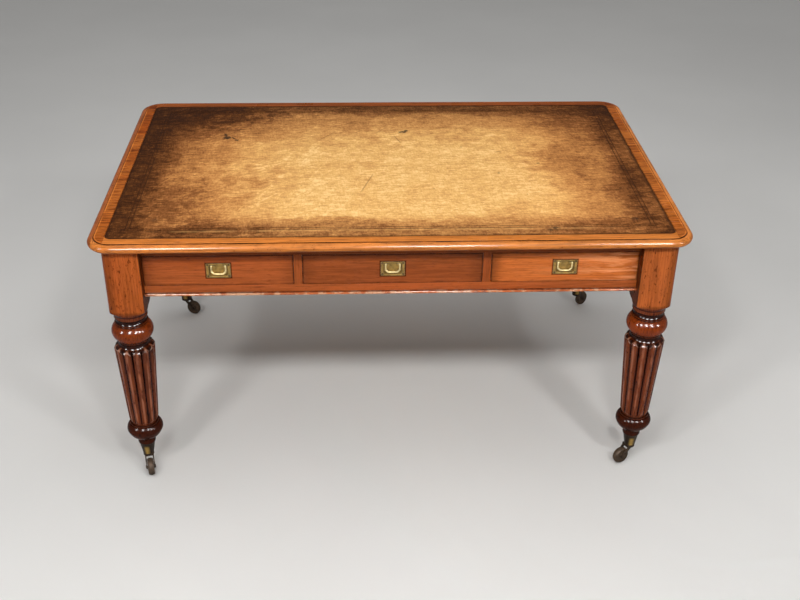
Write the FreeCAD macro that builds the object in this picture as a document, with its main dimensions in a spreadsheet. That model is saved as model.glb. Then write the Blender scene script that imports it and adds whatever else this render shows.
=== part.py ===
"""Partners desk: leather top, reeded legs on castors, three drawers on each long side.

Millimetres, +Z up.  The origin is on the floor under the centre of the top, +X runs along the
desk and the front looks along -Y.
"""
import FreeCAD, Part
import math
import os

import Sketcher
from FreeCAD import Placement, Rotation, Vector

doc = FreeCAD.newDocument("PartnersDesk")
sheet = doc.addObject("Spreadsheet::Sheet", "Sizes")

# Driving dimensions, in millimetres, with angles in degrees
SIZES = {
    "top_width": 1569,
    "top_depth": 1027,
    "desk_height": 762,
    # Writing top
    "board_thickness": 21,
    "cover_thickness": 2,
    "leather_recess": 0.3,
    "nose_projection": 16.5,
    "nose_round": 10,
    "top_corner_radius": 66,
    "lipping_width": 44,
    "band_width": 29.5,
    "leather_corner_radius": 18,
    "band_seam_setback": 20,
    # Legs
    "leg_inset_x": 83.5,
    "leg_inset_y": 75,
    "block_size": 97,
    "block_height": 194,
    "block_corner_radius": 22,
    "shoulder_drop": 12,
    "shoulder_rise": 18,
    "collar_radius": 45,
    "collar_height": 12,
    "cove_height": 17,
    "cove_depth": 6,
    "ring_seat_radius": 42,
    "ring_seat_height": 4,
    "ring_radius": 56,
    "ring_height": 49,
    "throat_radius": 43,
    "throat_step": 4,
    "throat_height": 15,
    "throat_depth": 3,
    "reed_count": 12,
    "reed_top_radius": 55.4,
    "reed_top_depth": 8.6,
    "reed_top_round": 12,
    "reed_bottom_radius": 40.5,
    "reed_bottom_depth": 4.8,
    "reed_bottom_round": 7,
    "ankle_radius": 35.5,
    "ankle_height": 8,
    "ankle_ring_radius": 40,
    "ankle_ring_height": 5,
    "bell_radius": 50,
    "bell_seat_radius": 42,
    "bell_top_height": 20,
    "bell_drop": 30,
    "bell_foot_radius": 25,
    "bell_foot_height": 16,
    "turning_core_radius": 30,
    # Frieze
    "frieze_recess": 32.5,
    "rail_thickness": 24,
    "top_rail_height": 35,
    "opening_height": 88,
    "bottom_rail_height": 21,
    "apron_thickness": 22,
    "tenon_length": 28,
    "tenon_thickness": 10,
    "tenon_shoulder": 4,
    "mortise_clearance": 0.1,
    "muntin_width": 22,
    "muntin_offset": 248.5,
    "bead_height": 8,
    "bead_projection": 9,
    "bead_seat": 14,
    # Drawer carriage
    "spine_thickness": 20,
    "runner_ledge": 14,
    "runner_height": 16,
    "guide_height": 24,
    # Drawers
    "drawer_side_gap": 1,
    "drawer_top_gap": 1.2,
    "drawer_running_gap": 0.3,
    "drawer_length": 425,
    "front_thickness": 22,
    "side_thickness": 10,
    "side_height": 78,
    "back_drop": 6,
    "bottom_thickness": 6,
    "bottom_lift": 8.5,
    "groove_depth": 4,
    "tail_count": 3,
    "tail_lap": 6,
    "tail_root": 12,
    "tail_tip": 17,
    # Flush handles
    "plate_width": 63.5,
    "plate_height": 41.5,
    "plate_corner_radius": 2,
    "flange_thickness": 2.5,
    "plate_proud": 0.5,
    "dish_width": 51,
    "dish_height": 34,
    "dish_depth": 9,
    "dish_corner_radius": 6,
    "dish_wall": 1.5,
    "plate_clearance": 0.2,
    "bail_width": 42,
    "bail_bar": 4.8,
    "bail_drop": 23.5,
    "bail_bevel": 7,
    "bail_pivot_inset": 5.5,
    "bail_depth": 3.2,
    "bail_pin": 3.2,
    "bail_pin_clearance": 0.05,
    "bail_side_clearance": 0.3,
    "lug_thickness": 4,
    "lug_size": 6.6,
    "screw_head": 4.6,
    "screw_head_depth": 1.8,
    "screw_shank": 2.2,
    "screw_length": 14,
    "screw_inset": 4.2,
    "screw_slot": 0.7,
    # Castors
    "wheel_diameter": 50,
    "wheel_width": 17,
    "wheel_crown": 3,
    "wheel_hub_diameter": 22,
    "wheel_rim_diameter": 41,
    "wheel_face_recess": 1.5,
    "wheel_crown_gap": 1,
    "wheel_side_gap": 0.6,
    "castor_trail": 30,
    "crown_thickness": 8,
    "crown_diameter": 31,
    "arm_thickness": 3.5,
    "arm_width": 13,
    "axle_diameter": 6,
    "axle_head_diameter": 9,
    "axle_head_height": 1.5,
    "axle_clearance": 0.05,
    "pintle_diameter": 8,
    "pintle_head_diameter": 12,
    "pintle_head_height": 2.4,
    "pintle_clearance": 0.05,
    "pintle_end_gap": 0.3,
    "cup_height": 42,
    "cup_top_radius": 22.8,
    "cup_bottom_radius": 15.5,
    "cup_wall": 2,
    "cup_base": 10,
    "cup_rim_height": 4,
    "cup_rim_projection": 1.5,
    "castor_angle_front_left": 284,
    "castor_angle_front_right": 209,
    "castor_angle_back_left": 333,
    "castor_angle_back_right": 40,
}
for row, (alias, amount) in enumerate(SIZES.items(), start=1):
    sheet.set(f"A{row}", alias.replace("_", " "))
    sheet.set(f"B{row}", str(amount))
    sheet.setAlias(f"B{row}", alias)
doc.recompute()


class Span:
    """A length with its formula in sheet cells and its present value."""

    def __init__(self, text, value):
        self.text = text
        self.value = value

    def __add__(self, other):
        other = as_span(other)
        return Span(f"({self.text} + {other.text})", self.value + other.value)

    def __sub__(self, other):
        other = as_span(other)
        return Span(f"({self.text} - {other.text})", self.value - other.value)

    def __mul__(self, other):
        other = as_span(other)
        return Span(f"({self.text} * {other.text})", self.value * other.value)

    def __truediv__(self, other):
        other = as_span(other)
        return Span(f"({self.text} / {other.text})", self.value / other.value)

    def __neg__(self):
        return Span(f"(0 - {self.text})", -self.value)

    def __radd__(self, other):
        return as_span(other) + self

    def __rsub__(self, other):
        return as_span(other) - self

    def __rmul__(self, other):
        return as_span(other) * self


def as_span(amount):
    """A Span as it is, or a plain number as a Span."""
    if isinstance(amount, Span):
        return amount
    return Span(f"({amount})", float(amount))


def size(alias):
    """The sheet cell with this alias."""
    return Span(f"Sizes.{alias}", float(sheet.get(alias)))


def bind(item, **spans):
    """Bind properties of an object to formulas."""
    for name, span in spans.items():
        item.setExpression(name, as_span(span).text)


def place(item, x=0, y=0, z=0, axis=(0, 0, 1), angle=0):
    """Put an object at a formula's place, turned about one axis by a fixed angle."""
    where = [as_span(x), as_span(y), as_span(z)]
    item.Placement = Placement(Vector(*[span.value for span in where]), Rotation(Vector(*axis), angle))
    for letter, span in zip("xyz", where):
        item.setExpression(f"Placement.Base.{letter}", span.text)
    return item


def box(name, low, lengths):
    """A block from its low corner and its three lengths."""
    block = doc.addObject("Part::Box", name)
    bind(block, Length=lengths[0], Width=lengths[1], Height=lengths[2])
    return place(block, *low)


def centred_box(name, x, width, y, depth, z, height):
    """A block centred on x and y that stands on z."""
    return box(name, (x - width / 2, y - depth / 2, z), (width, depth, height))


def rod(name, diameter, length, x=0, y=0, z=0, axis=(0, 0, 1), angle=0):
    """A round bar that starts at a point and runs along local Z, turned about one axis."""
    bar = doc.addObject("Part::Cylinder", name)
    bind(bar, Radius=diameter / 2, Height=length)
    return place(bar, x, y, z, axis, angle)


def rod_along_x(name, diameter, x_from, x_to, y, z):
    """A round bar along X."""
    return rod(name, diameter, x_to - x_from, x_from, y, z, (0, 1, 0), 90)


def rod_along_y(name, diameter, y_from, y_to, x, z):
    """A round bar along Y."""
    return rod(name, diameter, y_to - y_from, x, y_from, z, (1, 0, 0), -90)


def fuse(name, pieces):
    """One solid from several that meet."""
    joined = doc.addObject("Part::MultiFuse", name)
    joined.Shapes = pieces
    joined.Refine = True
    return joined


def cut(name, base, tools):
    """A solid with others taken out of it."""
    result = doc.addObject("Part::Cut", name)
    result.Base = base
    result.Tool = tools[0] if len(tools) == 1 else fuse(name + "_tools", tools)
    return result


def common(name, base, tool):
    """What two solids share."""
    result = doc.addObject("Part::Common", name)
    result.Base = base
    result.Tool = tool
    return result


def group(name, pieces):
    """Several separate solids kept together."""
    bundle = doc.addObject("Part::Compound", name)
    bundle.Links = pieces
    return bundle


nodes = []


def sub_part(item, label):
    """Mark an object as a finished sub-part."""
    item.Label = label
    nodes.append(item)
    return item


def new_sketch(body, role):
    """A sketch on one of a body's own origin planes."""
    sketch = body.newObject("Sketcher::SketchObject", body.Name + "_outline")
    plane = next(feature for feature in body.Origin.OriginFeatures if feature.Role == role)
    sketch.AttachmentSupport = [(plane, "")]
    sketch.MapMode = "FlatFace"
    return sketch


def fix_value(sketch, span, kind, *where):
    """A dimension in a sketch that follows a formula."""
    index = sketch.addConstraint(Sketcher.Constraint(kind, *where, span.value))
    sketch.setExpression(f"Constraints[{index}]", span.text)


def rise_radius(chord, rise):
    """Radius of the arc that stands this far off its chord."""
    return (chord * chord / 4 + rise * rise) / (2 * rise)


def rounded(radius):
    """An arc that swells to the left of the way the outline runs."""
    return "rounded", radius


def hollow(radius):
    """An arc that sinks to the right of the way the outline runs."""
    return "hollow", radius


def arc_between(start, end, shape, radius):
    """The sketch arc between two points, and whether it runs from start to end."""
    chord = end - start
    left = Vector(-chord.y, chord.x, 0).normalize()
    side = 1 if shape == "rounded" else -1
    reach = math.sqrt(max(radius ** 2 - chord.Length ** 2 / 4, 0))
    centre = (start + end) * 0.5 - left * (side * reach)
    first, last = (end, start) if side > 0 else (start, end)
    angles = [math.atan2(point.y - centre.y, point.x - centre.x) for point in (first, last)]
    circle = Part.Circle(centre, Vector(0, 0, 1), radius)
    return Part.ArcOfCircle(circle, angles[0], angles[1]), side < 0


def draw_outline(sketch, points):
    """Draw a closed outline of (x, y) or (x, y, arc to the next point); x of None lies on the axis."""
    places = [Vector(0 if x is None else x.value, y.value, 0) for x, y, *_ in points]
    starts = []
    ends = []
    for index, (_, _, *arc) in enumerate(points):
        start = places[index]
        end = places[(index + 1) % len(points)]
        if arc:
            shape, radius = arc[0]
            curve, forward = arc_between(start, end, shape, radius.value)
            edge = sketch.addGeometry(curve)
            starts.append((edge, 1 if forward else 2))
            ends.append((edge, 2 if forward else 1))
            fix_value(sketch, radius, "Radius", edge)
        else:
            edge = sketch.addGeometry(Part.LineSegment(start, end))
            starts.append((edge, 1))
            ends.append((edge, 2))
    for index, (x, y, *_) in enumerate(points):
        sketch.addConstraint(Sketcher.Constraint("Coincident", *ends[index - 1], *starts[index]))
        if x is None:
            sketch.addConstraint(Sketcher.Constraint("PointOnObject", *starts[index], -2))
        else:
            fix_value(sketch, x, "DistanceX", -1, 1, *starts[index])
        fix_value(sketch, y, "DistanceY", -1, 1, *starts[index])


def turned(name, points):
    """A body turned about Z from an outline of radii and heights."""
    body = doc.addObject("PartDesign::Body", name)
    sketch = new_sketch(body, "XZ_Plane")
    draw_outline(sketch, points)
    turning = body.newObject("PartDesign::Revolution", name + "_turning")
    turning.Profile = sketch
    turning.ReferenceAxis = (sketch, ["V_Axis"])
    turning.Angle = 360
    body.Tip = turning
    return body


def rounded_plate(name, width, depth, radius, thickness):
    """A body: a flat plate centred on Z with four rounded corners, standing on z of 0."""
    body = doc.addObject("PartDesign::Body", name)
    sketch = new_sketch(body, "XY_Plane")
    x = width / 2
    y = depth / 2
    bend = hollow(radius)
    draw_outline(sketch, [
        (-x + radius, -y), (x - radius, -y, bend), (x, -y + radius), (x, y - radius, bend),
        (x - radius, y), (-x + radius, y, bend), (-x, y - radius), (-x, -y + radius, bend),
    ])
    pad = body.newObject("PartDesign::Pad", name + "_pad")
    pad.Profile = sketch
    bind(pad, Length=thickness)
    body.Tip = pad
    return body


def round_rims(body, radius):
    """Round every level edge of a plate."""
    doc.recompute()
    pad = body.Tip
    level = []
    for number, edge in enumerate(pad.Shape.Edges, start=1):
        if edge.BoundBox.ZLength < edge.BoundBox.DiagonalLength / 2:
            level.append(f"Edge{number}")
    fillet = body.newObject("PartDesign::Fillet", body.Name + "_round")
    fillet.Base = (pad, level)
    bind(fillet, Radius=radius)
    body.Tip = fillet
    return body


# Shape ratios: radius of a curve over the height or width that it spans
BELL_TOP_CURVE = 1.2
BELL_SIDE_CURVE = 1.6
REED_END_CURVE = 1.4
SHOULDER_CURVE = 1.3
UNDER_SHOULDER_CURVE = 1.1
# How far the shoulder's cutter reaches, over half the block's width, to pass its corners
SHOULDER_REACH = 1.5
# Where the castor's web starts behind its crown's edge, as a share of the crown's radius
WEB_HEEL = 0.125

# Heights and planes that several pieces share
top_width = size("top_width")
top_depth = size("top_depth")
board_top = size("desk_height") - size("cover_thickness")
underside = board_top - size("board_thickness")
opening_top = underside - size("top_rail_height")
opening_bottom = opening_top - size("opening_height")
rail_bottom = opening_bottom - size("bottom_rail_height")
bead_bottom = rail_bottom - size("bead_height")
leg_x = top_width / 2 - size("leg_inset_x")
leg_y = top_depth / 2 - size("leg_inset_y")
block_half = size("block_size") / 2
leg_inner_x = leg_x - block_half
leg_inner_y = leg_y - block_half
frieze_x = leg_x + block_half - size("frieze_recess")
frieze_y = leg_y + block_half - size("frieze_recess")
rail_back = frieze_y - size("rail_thickness")
apron_inner = frieze_x - size("apron_thickness")
spine_face = size("spine_thickness") / 2
muntin_half = size("muntin_width") / 2

CORNERS = {
    "front_left": (-1, -1),
    "front_right": (1, -1),
    "back_left": (-1, 1),
    "back_right": (1, 1),
}
SIDES = {"front": -1, "back": 1}


def low_end(sign, near, far):
    """Low end of a span that lies between near and far on one side of zero."""
    return near if sign > 0 else -far


def build_top():
    """Core boards, mitred edge moulding, crossbanding and the leather that it frames."""
    lipping = size("lipping_width")
    thickness = size("board_thickness")
    core_size = (top_width - 2 * lipping, top_depth - 2 * lipping)
    core = centred_box("core", as_span(0), core_size[0], as_span(0), core_size[1], underside, thickness)
    sub_part(core, "top_core")

    slab = rounded_plate("edge_slab", top_width, top_depth, size("top_corner_radius"), thickness)
    round_rims(slab, size("nose_round"))
    well = centred_box("edge_well", as_span(0), core_size[0], as_span(0), core_size[1], as_span(0), thickness)
    ring = cut("edge_ring", slab, [well])
    lengths = []
    for side, (length, reach, angle) in {
        "front": (top_width, top_depth, 0),
        "right": (top_depth, top_width, 90),
        "back": (top_width, top_depth, 180),
        "left": (top_depth, top_width, 270),
    }.items():
        mitre = doc.addObject("Part::Wedge", f"mitre_{side}")
        bind(mitre, Xmin=-length / 2, Xmax=length / 2, X2min=lipping - length / 2, X2max=length / 2 - lipping)
        bind(mitre, Ymin=-reach / 2, Ymax=lipping - reach / 2)
        bind(mitre, Zmin=0, Zmax=thickness, Z2min=0, Z2max=thickness)
        mitre.Placement = Placement(Vector(), Rotation(Vector(0, 0, 1), angle))
        lengths.append(common(f"edge_{side}", ring, mitre))
    sub_part(place(group("edge_lengths", lengths), z=underside), "edge_mouldings")

    cover = size("cover_thickness")
    band = size("band_width")
    nose = size("nose_projection")
    band_size = (top_width - 2 * nose, top_depth - 2 * nose)
    leather_size = (band_size[0] - 2 * band, band_size[1] - 2 * band)
    leather_radius = size("leather_corner_radius")
    band_plate = rounded_plate("band_plate", *band_size, size("top_corner_radius") - nose, cover)
    window = rounded_plate("band_window", *leather_size, leather_radius, cover)
    band_ring = cut("band_ring", band_plate, [window])
    seam_y = leather_size[1] / 2 - size("band_seam_setback")
    strip_depth = band_size[1] / 2 - seam_y
    strips = []
    for side, sign in SIDES.items():
        y = low_end(sign, seam_y, seam_y + strip_depth)
        start = (-band_size[0] / 2, y, as_span(0))
        tool = box(f"band_{side}_span", start, (band_size[0], strip_depth, cover))
        strips.append(common(f"band_{side}", band_ring, tool))
    for side, sign in {"left": -1, "right": 1}.items():
        x = low_end(sign, leather_size[0] / 2, band_size[0] / 2)
        tool = box(f"band_{side}_span", (x, -seam_y, as_span(0)), (band, 2 * seam_y, cover))
        strips.append(common(f"band_{side}", band_ring, tool))
    sub_part(place(group("bands", strips), z=board_top), "crossbanding")

    leather = rounded_plate("leather", *leather_size, leather_radius, cover - size("leather_recess"))
    sub_part(place(leather, z=board_top), "leather_inset")


def block_bottom():
    """Height where the leg block's flat faces end."""
    return underside - size("block_height")


def castor_top():
    """Height of the cup's bottom, which the crown of the fork turns against."""
    return size("wheel_diameter") + size("wheel_crown_gap") + size("crown_thickness")


def cup_top():
    """Height of the cup's rim, where the wooden leg begins."""
    return castor_top() + size("cup_height")


def reed_section(name, radius, depth, height):
    """A closed wire of convex lobes, one for each reed."""
    count = int(size("reed_count").value)
    valley = radius.value - depth.value
    step = 2 * math.pi / count
    arcs = []
    for lobe in range(count):
        points = []
        for turn, reach in ((lobe, valley), (lobe + 0.5, radius.value), (lobe + 1, valley)):
            points.append(Vector(reach * math.cos(turn * step), reach * math.sin(turn * step), 0))
        arcs.append(Part.Arc(*points).toShape())
    section = doc.addObject("Part::Feature", name)
    section.Shape = Part.Wire(arcs)
    return place(section, z=height)


def build_leg_turning():
    """The turned and reeded leg below the square block, with the spigot that the cup holds."""
    axis = None
    collar_top = block_bottom() - size("shoulder_drop")
    collar_low = collar_top - size("collar_height")
    seat_top = collar_low - size("cove_height")
    ring_top = seat_top - size("ring_seat_height")
    ring_low = ring_top - size("ring_height")
    throat_top = ring_low - size("throat_step")
    reed_top = throat_top - size("throat_height")
    collar = size("collar_radius")
    seat = size("ring_seat_radius")
    throat = size("throat_radius")
    core = size("turning_core_radius")
    ring_arc = rounded(rise_radius(size("ring_height"), size("ring_radius") - seat))
    cove_arc = hollow(rise_radius(size("cove_height"), size("cove_depth")))
    throat_arc = hollow(rise_radius(size("throat_height"), size("throat_depth")))
    overlap = size("reed_top_round")
    core_top = collar_top + size("block_height") / 2
    upper = turned("upper_turning", [
        (axis, core_top), (core, core_top),
        (core, collar_top), (collar, collar_top), (collar, collar_low, cove_arc),
        (collar, seat_top), (seat, ring_top, ring_arc), (seat, ring_low), (throat, ring_low),
        (throat, throat_top, throat_arc), (throat, reed_top), (core, reed_top), (core, reed_top - overlap),
        (axis, reed_top - overlap),
    ])

    foot = cup_top()
    bell_low = foot + size("bell_foot_height")
    bell_wide = bell_low + size("bell_drop")
    bell_top = bell_wide + size("bell_top_height")
    ankle_low = bell_top + size("ankle_ring_height")
    reed_low = ankle_low + size("ankle_height")
    bell_foot = size("bell_foot_radius")
    bell = size("bell_radius")
    bell_seat = size("bell_seat_radius")
    ankle = size("ankle_radius")
    ankle_ring = size("ankle_ring_radius")
    spigot_low = castor_top() + size("cup_base")
    spigot_radii = spigot_outline()
    swell = (bell - bell_seat) / 2
    lower = turned("lower_turning", [
        (axis, reed_low + overlap), (ankle - swell, reed_low + overlap), (ankle - swell, reed_low),
        (ankle, reed_low), (ankle, ankle_low), (ankle_ring, ankle_low), (ankle_ring, bell_top),
        (bell_seat, bell_top, rounded(size("bell_top_height") * BELL_TOP_CURVE)),
        (bell, bell_wide, rounded(size("bell_drop") * BELL_SIDE_CURVE)),
        (bell_foot, bell_low), (bell_foot, foot), (spigot_radii[1], foot), (spigot_radii[0], spigot_low),
        (axis, spigot_low),
    ])

    reed_big = size("reed_top_radius")
    reed_small = size("reed_bottom_radius")
    shaft = doc.addObject("Part::Loft", "reed_shaft")
    shaft.Sections = [
        reed_section("reed_foot_section", reed_small, size("reed_bottom_depth"), reed_low),
        reed_section("reed_head_section", reed_big, size("reed_top_depth"), reed_top),
    ]
    shaft.Solid = True
    shaft.Ruled = True
    top_round = size("reed_top_round")
    low_round = size("reed_bottom_round")
    shell = turned("reed_envelope", [
        (axis, reed_top), (throat, reed_top, rounded(top_round * REED_END_CURVE)),
        (reed_big, reed_top - top_round),
        (reed_small, reed_low + low_round, rounded(low_round * REED_END_CURVE)),
        (ankle, reed_low), (axis, reed_low),
    ])
    reeds = common("reeds", shaft, shell)
    return fuse("leg_turning", [upper, lower, reeds]), collar_top


def spigot_outline():
    """Bottom and top radius of the wooden spigot inside the cup."""
    wall = size("cup_wall") + size("mortise_clearance")
    slope = (size("cup_top_radius") - size("cup_bottom_radius")) / size("cup_height")
    return size("cup_bottom_radius") + slope * size("cup_base") - wall, size("cup_top_radius") - wall


def build_legs():
    """Four legs: a square block with one rounded corner above the shared turning, mortised for the rails."""
    turning, collar_top = build_leg_turning()
    block = size("block_size")
    radius = size("block_corner_radius")
    height = underside - collar_top
    flat_low = block_bottom()
    reach = block_half * SHOULDER_REACH
    rise = size("shoulder_rise")
    collar = size("collar_radius")
    side_curve = rounded(rise * SHOULDER_CURVE)
    under_curve = rounded(rise_radius(2 * size("shoulder_drop"), block_half - collar) * UNDER_SHOULDER_CURVE)
    shoulder = turned("shoulder_envelope", [
        (None, underside), (2 * reach, underside), (2 * reach, flat_low + rise),
        (reach, flat_low + rise, side_curve), (block_half, flat_low, under_curve),
        (collar, collar_top), (None, collar_top),
    ])
    for corner, (sx, sy) in CORNERS.items():
        wide_y = radius - block_half if sy < 0 else -block_half
        wide_x = radius - block_half if sx < 0 else -block_half
        slab_x = box(f"block_x_{corner}", (-block_half, wide_y, collar_top), (block, block - radius, height))
        slab_y = box(f"block_y_{corner}", (wide_x, -block_half, collar_top), (block - radius, block, height))
        corner_x = sx * (block_half - radius)
        corner_y = sy * (block_half - radius)
        post = rod(f"block_round_{corner}", 2 * radius, height, corner_x, corner_y, collar_top)
        square = fuse(f"block_square_{corner}", [slab_x, slab_y, post])
        head = common(f"block_{corner}", square, shoulder)
        whole = fuse(f"leg_whole_{corner}", [head, turning])
        leg = cut(f"leg_{corner}_cut", whole, leg_mortises(corner, sx, sy))
        sub_part(place(leg, sx * leg_x, sy * leg_y), f"leg_{corner}")


def leg_mortises(corner, sx, sy):
    """Mortises, about the leg's own axis, for the two rails and the apron that meet there."""
    play = size("mortise_clearance")
    depth = size("tenon_length") + play
    thickness = size("tenon_thickness") + 2 * play
    rail_y = sy * (block_half - size("frieze_recess") - size("rail_thickness") / 2)
    apron_x = sx * (block_half - size("frieze_recess") - size("apron_thickness") / 2)
    x = low_end(-sx, block_half - depth, block_half)
    y = low_end(-sy, block_half - depth, block_half)
    sockets = []
    for name, low, high in (("bottom", rail_bottom, opening_bottom), ("top", opening_top, underside)):
        span = tenon_span(low, high)
        sockets.append(box(f"mortise_{name}_{corner}", (x, rail_y - thickness / 2, span[0] - play),
                           (depth, thickness, span[1] + 2 * play)))
    span = tenon_span(rail_bottom, underside)
    sockets.append(box(f"mortise_apron_{corner}", (apron_x - thickness / 2, y, span[0] - play),
                       (thickness, depth, span[1] + 2 * play)))
    return sockets


def tenon_span(low, high):
    """Low edge and height of a tenon on a rail between two heights."""
    shoulder = size("tenon_shoulder")
    return low + shoulder, high - low - 2 * shoulder


def build_rails():
    """Bottom and top rails of the two drawer sides, and the two end aprons, all with tenons."""
    thickness = size("rail_thickness")
    tenon = size("tenon_thickness")
    length = size("tenon_length")
    for side, sign in SIDES.items():
        for name, low, high in (("bottom", rail_bottom, opening_bottom), ("top", opening_top, underside)):
            middle = sign * (frieze_y - thickness / 2)
            span = tenon_span(low, high)
            zero = as_span(0)
            tongue_length = 2 * (leg_inner_x + length)
            bar = centred_box(f"{name}_bar_{side}", zero, 2 * leg_inner_x, middle, thickness, low, high - low)
            tongue = centred_box(f"{name}_tongue_{side}", zero, tongue_length, middle, tenon, *span)
            sub_part(fuse(f"{name}_rail_{side}", [bar, tongue]), f"{side}_{name}_rail")
    for side, sign in {"left": -1, "right": 1}.items():
        middle = sign * (frieze_x - size("apron_thickness") / 2)
        span = tenon_span(rail_bottom, underside)
        zero = as_span(0)
        board = centred_box(f"apron_board_{side}", middle, size("apron_thickness"), zero, 2 * leg_inner_y,
                            rail_bottom, underside - rail_bottom)
        tongue = centred_box(f"apron_tongue_{side}", middle, tenon, zero, 2 * (leg_inner_y + length), *span)
        sub_part(fuse(f"apron_{side}", [board, tongue]), f"end_apron_{side}")


def build_muntins():
    """The four uprights between the drawers."""
    uprights = []
    for side, sign in SIDES.items():
        for hand in (-1, 1):
            y = low_end(sign, rail_back, frieze_y)
            x = hand * size("muntin_offset") - muntin_half
            uprights.append(box(f"muntin_{side}_{hand + 1}", (x, y, opening_bottom),
                                (size("muntin_width"), size("rail_thickness"), size("opening_height"))))
    sub_part(group("muntin_set", uprights), "muntins")


def build_beads():
    """Half-round bead under the rails and aprons."""
    height = size("bead_height")
    reach = size("bead_projection") - height / 2
    depth = size("bead_seat") + reach
    middle_z = bead_bottom + height / 2
    beads = []
    for side, sign in SIDES.items():
        y = low_end(sign, frieze_y - size("bead_seat"), frieze_y + reach)
        strip = box(f"bead_strip_{side}", (-leg_inner_x, y, bead_bottom), (2 * leg_inner_x, depth, height))
        nose_y = sign * (frieze_y + reach)
        nose = rod_along_x(f"bead_nose_{side}", height, -leg_inner_x, leg_inner_x, nose_y, middle_z)
        beads.append(fuse(f"bead_{side}", [strip, nose]))
    for side, sign in {"left": -1, "right": 1}.items():
        x = low_end(sign, frieze_x - size("bead_seat"), frieze_x + reach)
        strip = box(f"bead_strip_{side}", (x, -leg_inner_y, bead_bottom), (depth, 2 * leg_inner_y, height))
        nose_x = sign * (frieze_x + reach)
        nose = rod_along_y(f"bead_nose_{side}", height, -leg_inner_y, leg_inner_y, nose_x, middle_z)
        beads.append(fuse(f"bead_{side}", [strip, nose]))
    sub_part(group("bead_set", beads), "bead_mouldings")


def build_carriage():
    """Spine between the two rows of drawers, with the runners, guides and kickers that carry them."""
    runner_low = opening_bottom - size("runner_height")
    spine = centred_box("spine", as_span(0), 2 * apron_inner, as_span(0), size("spine_thickness"),
                        runner_low, underside - runner_low)
    sub_part(spine, "centre_spine")

    ledge = size("runner_ledge")
    run = rail_back - spine_face
    guide_run = leg_inner_y - spine_face
    runners = []
    guides = []
    kickers = []
    for side, sign in SIDES.items():
        y = low_end(sign, spine_face, rail_back)
        guide_y = low_end(sign, spine_face, leg_inner_y)
        for hand, name in ((-1, "left"), (1, "right")):
            tag = f"{side}_{name}"
            inner = hand * size("muntin_offset") - muntin_half - ledge
            inner_width = size("muntin_width") + 2 * ledge
            outer = low_end(hand, leg_inner_x - ledge, leg_inner_x)
            for place_name, x, width in (("inner", inner, inner_width), ("outer", outer, ledge)):
                runners.append(box(f"runner_{place_name}_{tag}", (x, y, runner_low),
                                   (width, run, size("runner_height"))))
                kickers.append(box(f"kicker_{place_name}_{tag}", (x, y, opening_top),
                                   (width, run, size("top_rail_height"))))
            guide_x = hand * size("muntin_offset") - muntin_half
            guides.append(box(f"guide_inner_{tag}", (guide_x, y, opening_bottom),
                              (size("muntin_width"), run, size("guide_height"))))
            packing_x = low_end(hand, leg_inner_x, apron_inner)
            packing_height = size("runner_height") + size("guide_height")
            guides.append(box(f"guide_outer_{tag}", (packing_x, guide_y, runner_low),
                              (apron_inner - leg_inner_x, guide_run, packing_height)))
    sub_part(group("runner_set", runners), "drawer_runners")
    sub_part(group("guide_set", guides), "drawer_guides")
    sub_part(group("kicker_set", kickers), "drawer_kickers")


def drawer_bays():
    """Centre and clear width of each bay between a leg and a muntin, or between muntins."""
    outer_edge = size("muntin_offset") + muntin_half
    inner_edge = size("muntin_offset") - muntin_half
    side_centre = (leg_inner_x + outer_edge) / 2
    side_width = leg_inner_x - outer_edge
    return {
        "left": (-side_centre, side_width),
        "middle": (as_span(0), 2 * inner_edge),
        "right": (side_centre, side_width),
    }


def set_in_bay(item, side, centre):
    """Move a drawer's piece from its own frame into its bay; back drawers face the other way."""
    z = opening_bottom + size("drawer_running_gap")
    return place(item, centre, SIDES[side] * frieze_y, z, angle=0 if side == "front" else 180)


def front_height():
    """Height of a drawer front in its opening."""
    return size("opening_height") - size("drawer_running_gap") - size("drawer_top_gap")


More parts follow.
